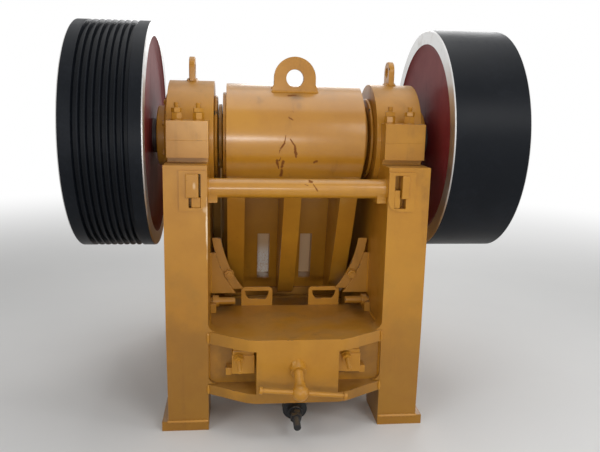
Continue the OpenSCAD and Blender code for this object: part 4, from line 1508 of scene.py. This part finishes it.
@dataclass
class ShaftEnds:
    """The retaining plates and bolts on the two ends of the shaft, and the keys in the hubs."""

    plate_r: float = 0.078
    plate_t: float = 0.012
    chamfer: float = 0.003
    bolt: Fastener = Fastener(0.030, 0.014, washer=0.038)
    bolt_r: float = 0.045
    bolts: int = 3
    first_bolt: float = 0.5
    sides: int = 64
    key: tuple[float, float, float] = (0.020, 0.036, 0.020)
    key_edge: float = 0.002
    key_r: float = 0.094
    key_back: float = 0.022

    def build(self) -> None:
        """Builds the plates, the bolts and the keys."""
        piece = Piece("shaft_end_plates", Body.SHAFT, Slot.MACHINED, [TURNED, ZINC])
        end = Extent.of("eccentric_shaft").high.x
        for side in Side:
            plate = bmesh.new()
            cone(plate, self.sides, (self.plate_r, self.plate_r - self.chamfer), self.plate_t)
            piece.take(plate, round_shaft(side, end + self.plate_t / 2))
            for k in range(self.bolts):
                turn = math.tau * k / self.bolts + self.first_bolt
                piece.take(self.bolt.mesh(), round_shaft(side, end + self.plate_t, self.bolt_r, turn, k), 1)
            block = bmesh.new()
            bmesh.ops.create_cube(block, size=1.0, matrix=Matrix.Diagonal((*self.key, 1)))
            rounded(block, block.edges[:], self.key_edge)
            piece.take(block, at(side.value * (end - self.key_back), SHAFT.y, SHAFT.z + self.key_r), 1)
        piece.finish()


# Stage


@dataclass(frozen=True)
class Photograph:
    """The viewpoint of the photograph."""

    place: tuple[float, float, float] = (-0.25398, -3.08857, 1.34048)
    yaw: float = 6.094
    pitch: float = 11.313
    roll: float = 1.2576
    focal_pixels: float = 643.6
    pixels_across: int = 600

    def build(self) -> None:
        """Makes the camera and turns it as the photograph was taken."""
        yaw, pitch, roll = (math.radians(a) for a in (self.yaw, self.pitch, self.roll))
        level = Vector((math.sin(yaw), math.cos(yaw), 0))
        ahead = level * math.cos(pitch) - Vector((0, 0, 1)) * math.sin(pitch)
        over = Vector((0, 0, 1)) * math.cos(pitch) + level * math.sin(pitch)
        across = Vector((math.cos(yaw), -math.sin(yaw), 0))
        right = across * math.cos(roll) + over * math.sin(roll)
        up = over * math.cos(roll) - across * math.sin(roll)
        data = bpy.data.cameras.new("photograph")
        data.lens = self.focal_pixels / self.pixels_across * data.sensor_width
        data.clip_start, data.clip_end = 0.05, 100.0
        camera = bpy.data.objects.new("photograph", data)
        turn = Matrix((right, up, -ahead)).transposed().to_4x4()
        camera.matrix_world = Matrix.Translation(self.place) @ turn
        bpy.context.scene.collection.objects.link(camera)
        bpy.context.scene.camera = camera


@dataclass(frozen=True)
class Lamp:
    """A soft rectangular lamp."""

    name: str
    place: tuple[float, float, float]
    aim: tuple[float, float, float]
    size: tuple[float, float]
    power: float

    def build(self) -> None:
        """Makes the lamp and aims it."""
        data = bpy.data.lights.new(self.name, "AREA")
        data.shape = "RECTANGLE"
        data.size, data.size_y = self.size
        data.energy = self.power
        lamp = bpy.data.objects.new(self.name, data)
        lamp.location = self.place
        lamp.rotation_mode = "QUATERNION"
        lamp.rotation_quaternion = (Vector(self.aim) - Vector(self.place)).to_track_quat("-Z", "Y")
        bpy.context.scene.collection.objects.link(lamp)


@dataclass
class Studio:
    """A pale floor, a pale surround and soft lamps."""

    floor_r: float = 9.0
    floor_drop: float = 0.0005
    floor_colour: Colour = (0.80, 0.80, 0.79)
    floor_mottle: Colour = (0.76, 0.76, 0.755)
    floor_fade: tuple[float, float] = (2.2, 6.5)
    surround: float = 0.27
    lamps: Sequence[Lamp] = (
        Lamp("overhead", (0.3, -0.2, 4.4), (0, -0.2, 0.8), (3.6, 3.0), 56.0),
        Lamp("rear_left", (-3.2, -3.8, 2.6), (0, -0.4, 0.8), (2.2, 2.0), 34.0),
        Lamp("rear_low", (-0.35, -4.6, 1.16), (-0.2, -0.4, 1.16), (1.3, 0.36), 34.0),
        Lamp("rear_right", (2.2, -4.6, 3.3), (0, -0.4, 0.9), (2.2, 1.8), 62.0),
        Lamp("strip_right", (3.1, -2.0, 1.1), (-0.3, -0.5, 0.8), (0.30, 1.8), 18.0),
        Lamp("front", (1.5, 4.6, 3.2), (0, 0.2, 0.8), (3.4, 2.6), 85.0),
    )

    def build(self) -> None:
        """Lays the floor, lights the scene and sets how colours show."""
        bpy.context.scene.view_settings.view_transform = "Standard"
        self._floor()
        self._world()
        for lamp in self.lamps:
            lamp.build()

    def _floor(self) -> None:
        """A wide disc under the feet that fades to white."""
        bm = bmesh.new()
        bmesh.ops.create_circle(bm, cap_ends=True, segments=96, radius=self.floor_r,
                                matrix=lift(-self.floor_drop))
        mesh = bpy.data.meshes.new("studio_floor")
        bm.to_mesh(mesh)
        bm.free()
        g = Graph("floor_grey")
        here = g.place()
        mottle = g.noise(here, 1.6, 3.0, 0.5)
        x, y, _ = g.axes(here)
        away = (x * x + y * y).sqrt().ramp(*self.floor_fade)
        colour = g.mix(self.floor_colour, self.floor_mottle, mottle)
        shader = g.node("ShaderNodeBsdfDiffuse", None, {"Color": colour})
        white = g.node("ShaderNodeEmission", None, {"Color": (1, 1, 1, 1), "Strength": 1.0})
        blend = g.node("ShaderNodeMixShader", None, {0: away, 1: shader.outputs[0], 2: white.outputs[0]})
        g.node("ShaderNodeOutputMaterial", None, {"Surface": blend.outputs[0]})
        mesh.materials.append(g.material)
        floor = bpy.data.objects.new("studio_floor", mesh)
        bpy.context.scene.collection.objects.link(floor)

    def _world(self) -> None:
        """White to the camera and in reflections, softer as a light."""
        world = bpy.data.worlds.new("surround")
        bpy.context.scene.world = world
        world.use_nodes = True
        g = Tree(world.node_tree)
        rays = g.node("ShaderNodeLightPath").outputs
        seen = Value(g, rays["Is Camera Ray"]).largest(rays["Is Glossy Ray"])
        seen = seen.largest(rays["Is Transmission Ray"])
        soft = g.node("ShaderNodeBackground", None, {0: (1, 1, 1, 1), 1: self.surround})
        white = g.node("ShaderNodeBackground", None, {0: (1, 1, 1, 1), 1: 1.0})
        blend = g.node("ShaderNodeMixShader", None, {0: seen, 1: soft.outputs[0], 2: white.outputs[0]})
        g.node("ShaderNodeOutputWorld", None, {"Surface": blend.outputs[0]})


def main() -> None:
    """Builds the crusher's looks, the studio and the camera."""
    logging.basicConfig(level=logging.INFO, format="%(name)s %(message)s")
    Photograph().build()
    Carried().build()
    Wheel(Side.RIGHT, "flywheel").build()
    Wheel(Side.LEFT, "belt_sheave", grooves=8).build()
    ShaftEnds().build()
    BearingBolts().build()
    FrameBolts().build()
    RodEnd().build()
    AdjustingScrew().build()
    PocketCorners().build()
    BlockPacking().build()
    Welds().build()
    Studio().build()


if __name__ == "__main__":
    main()
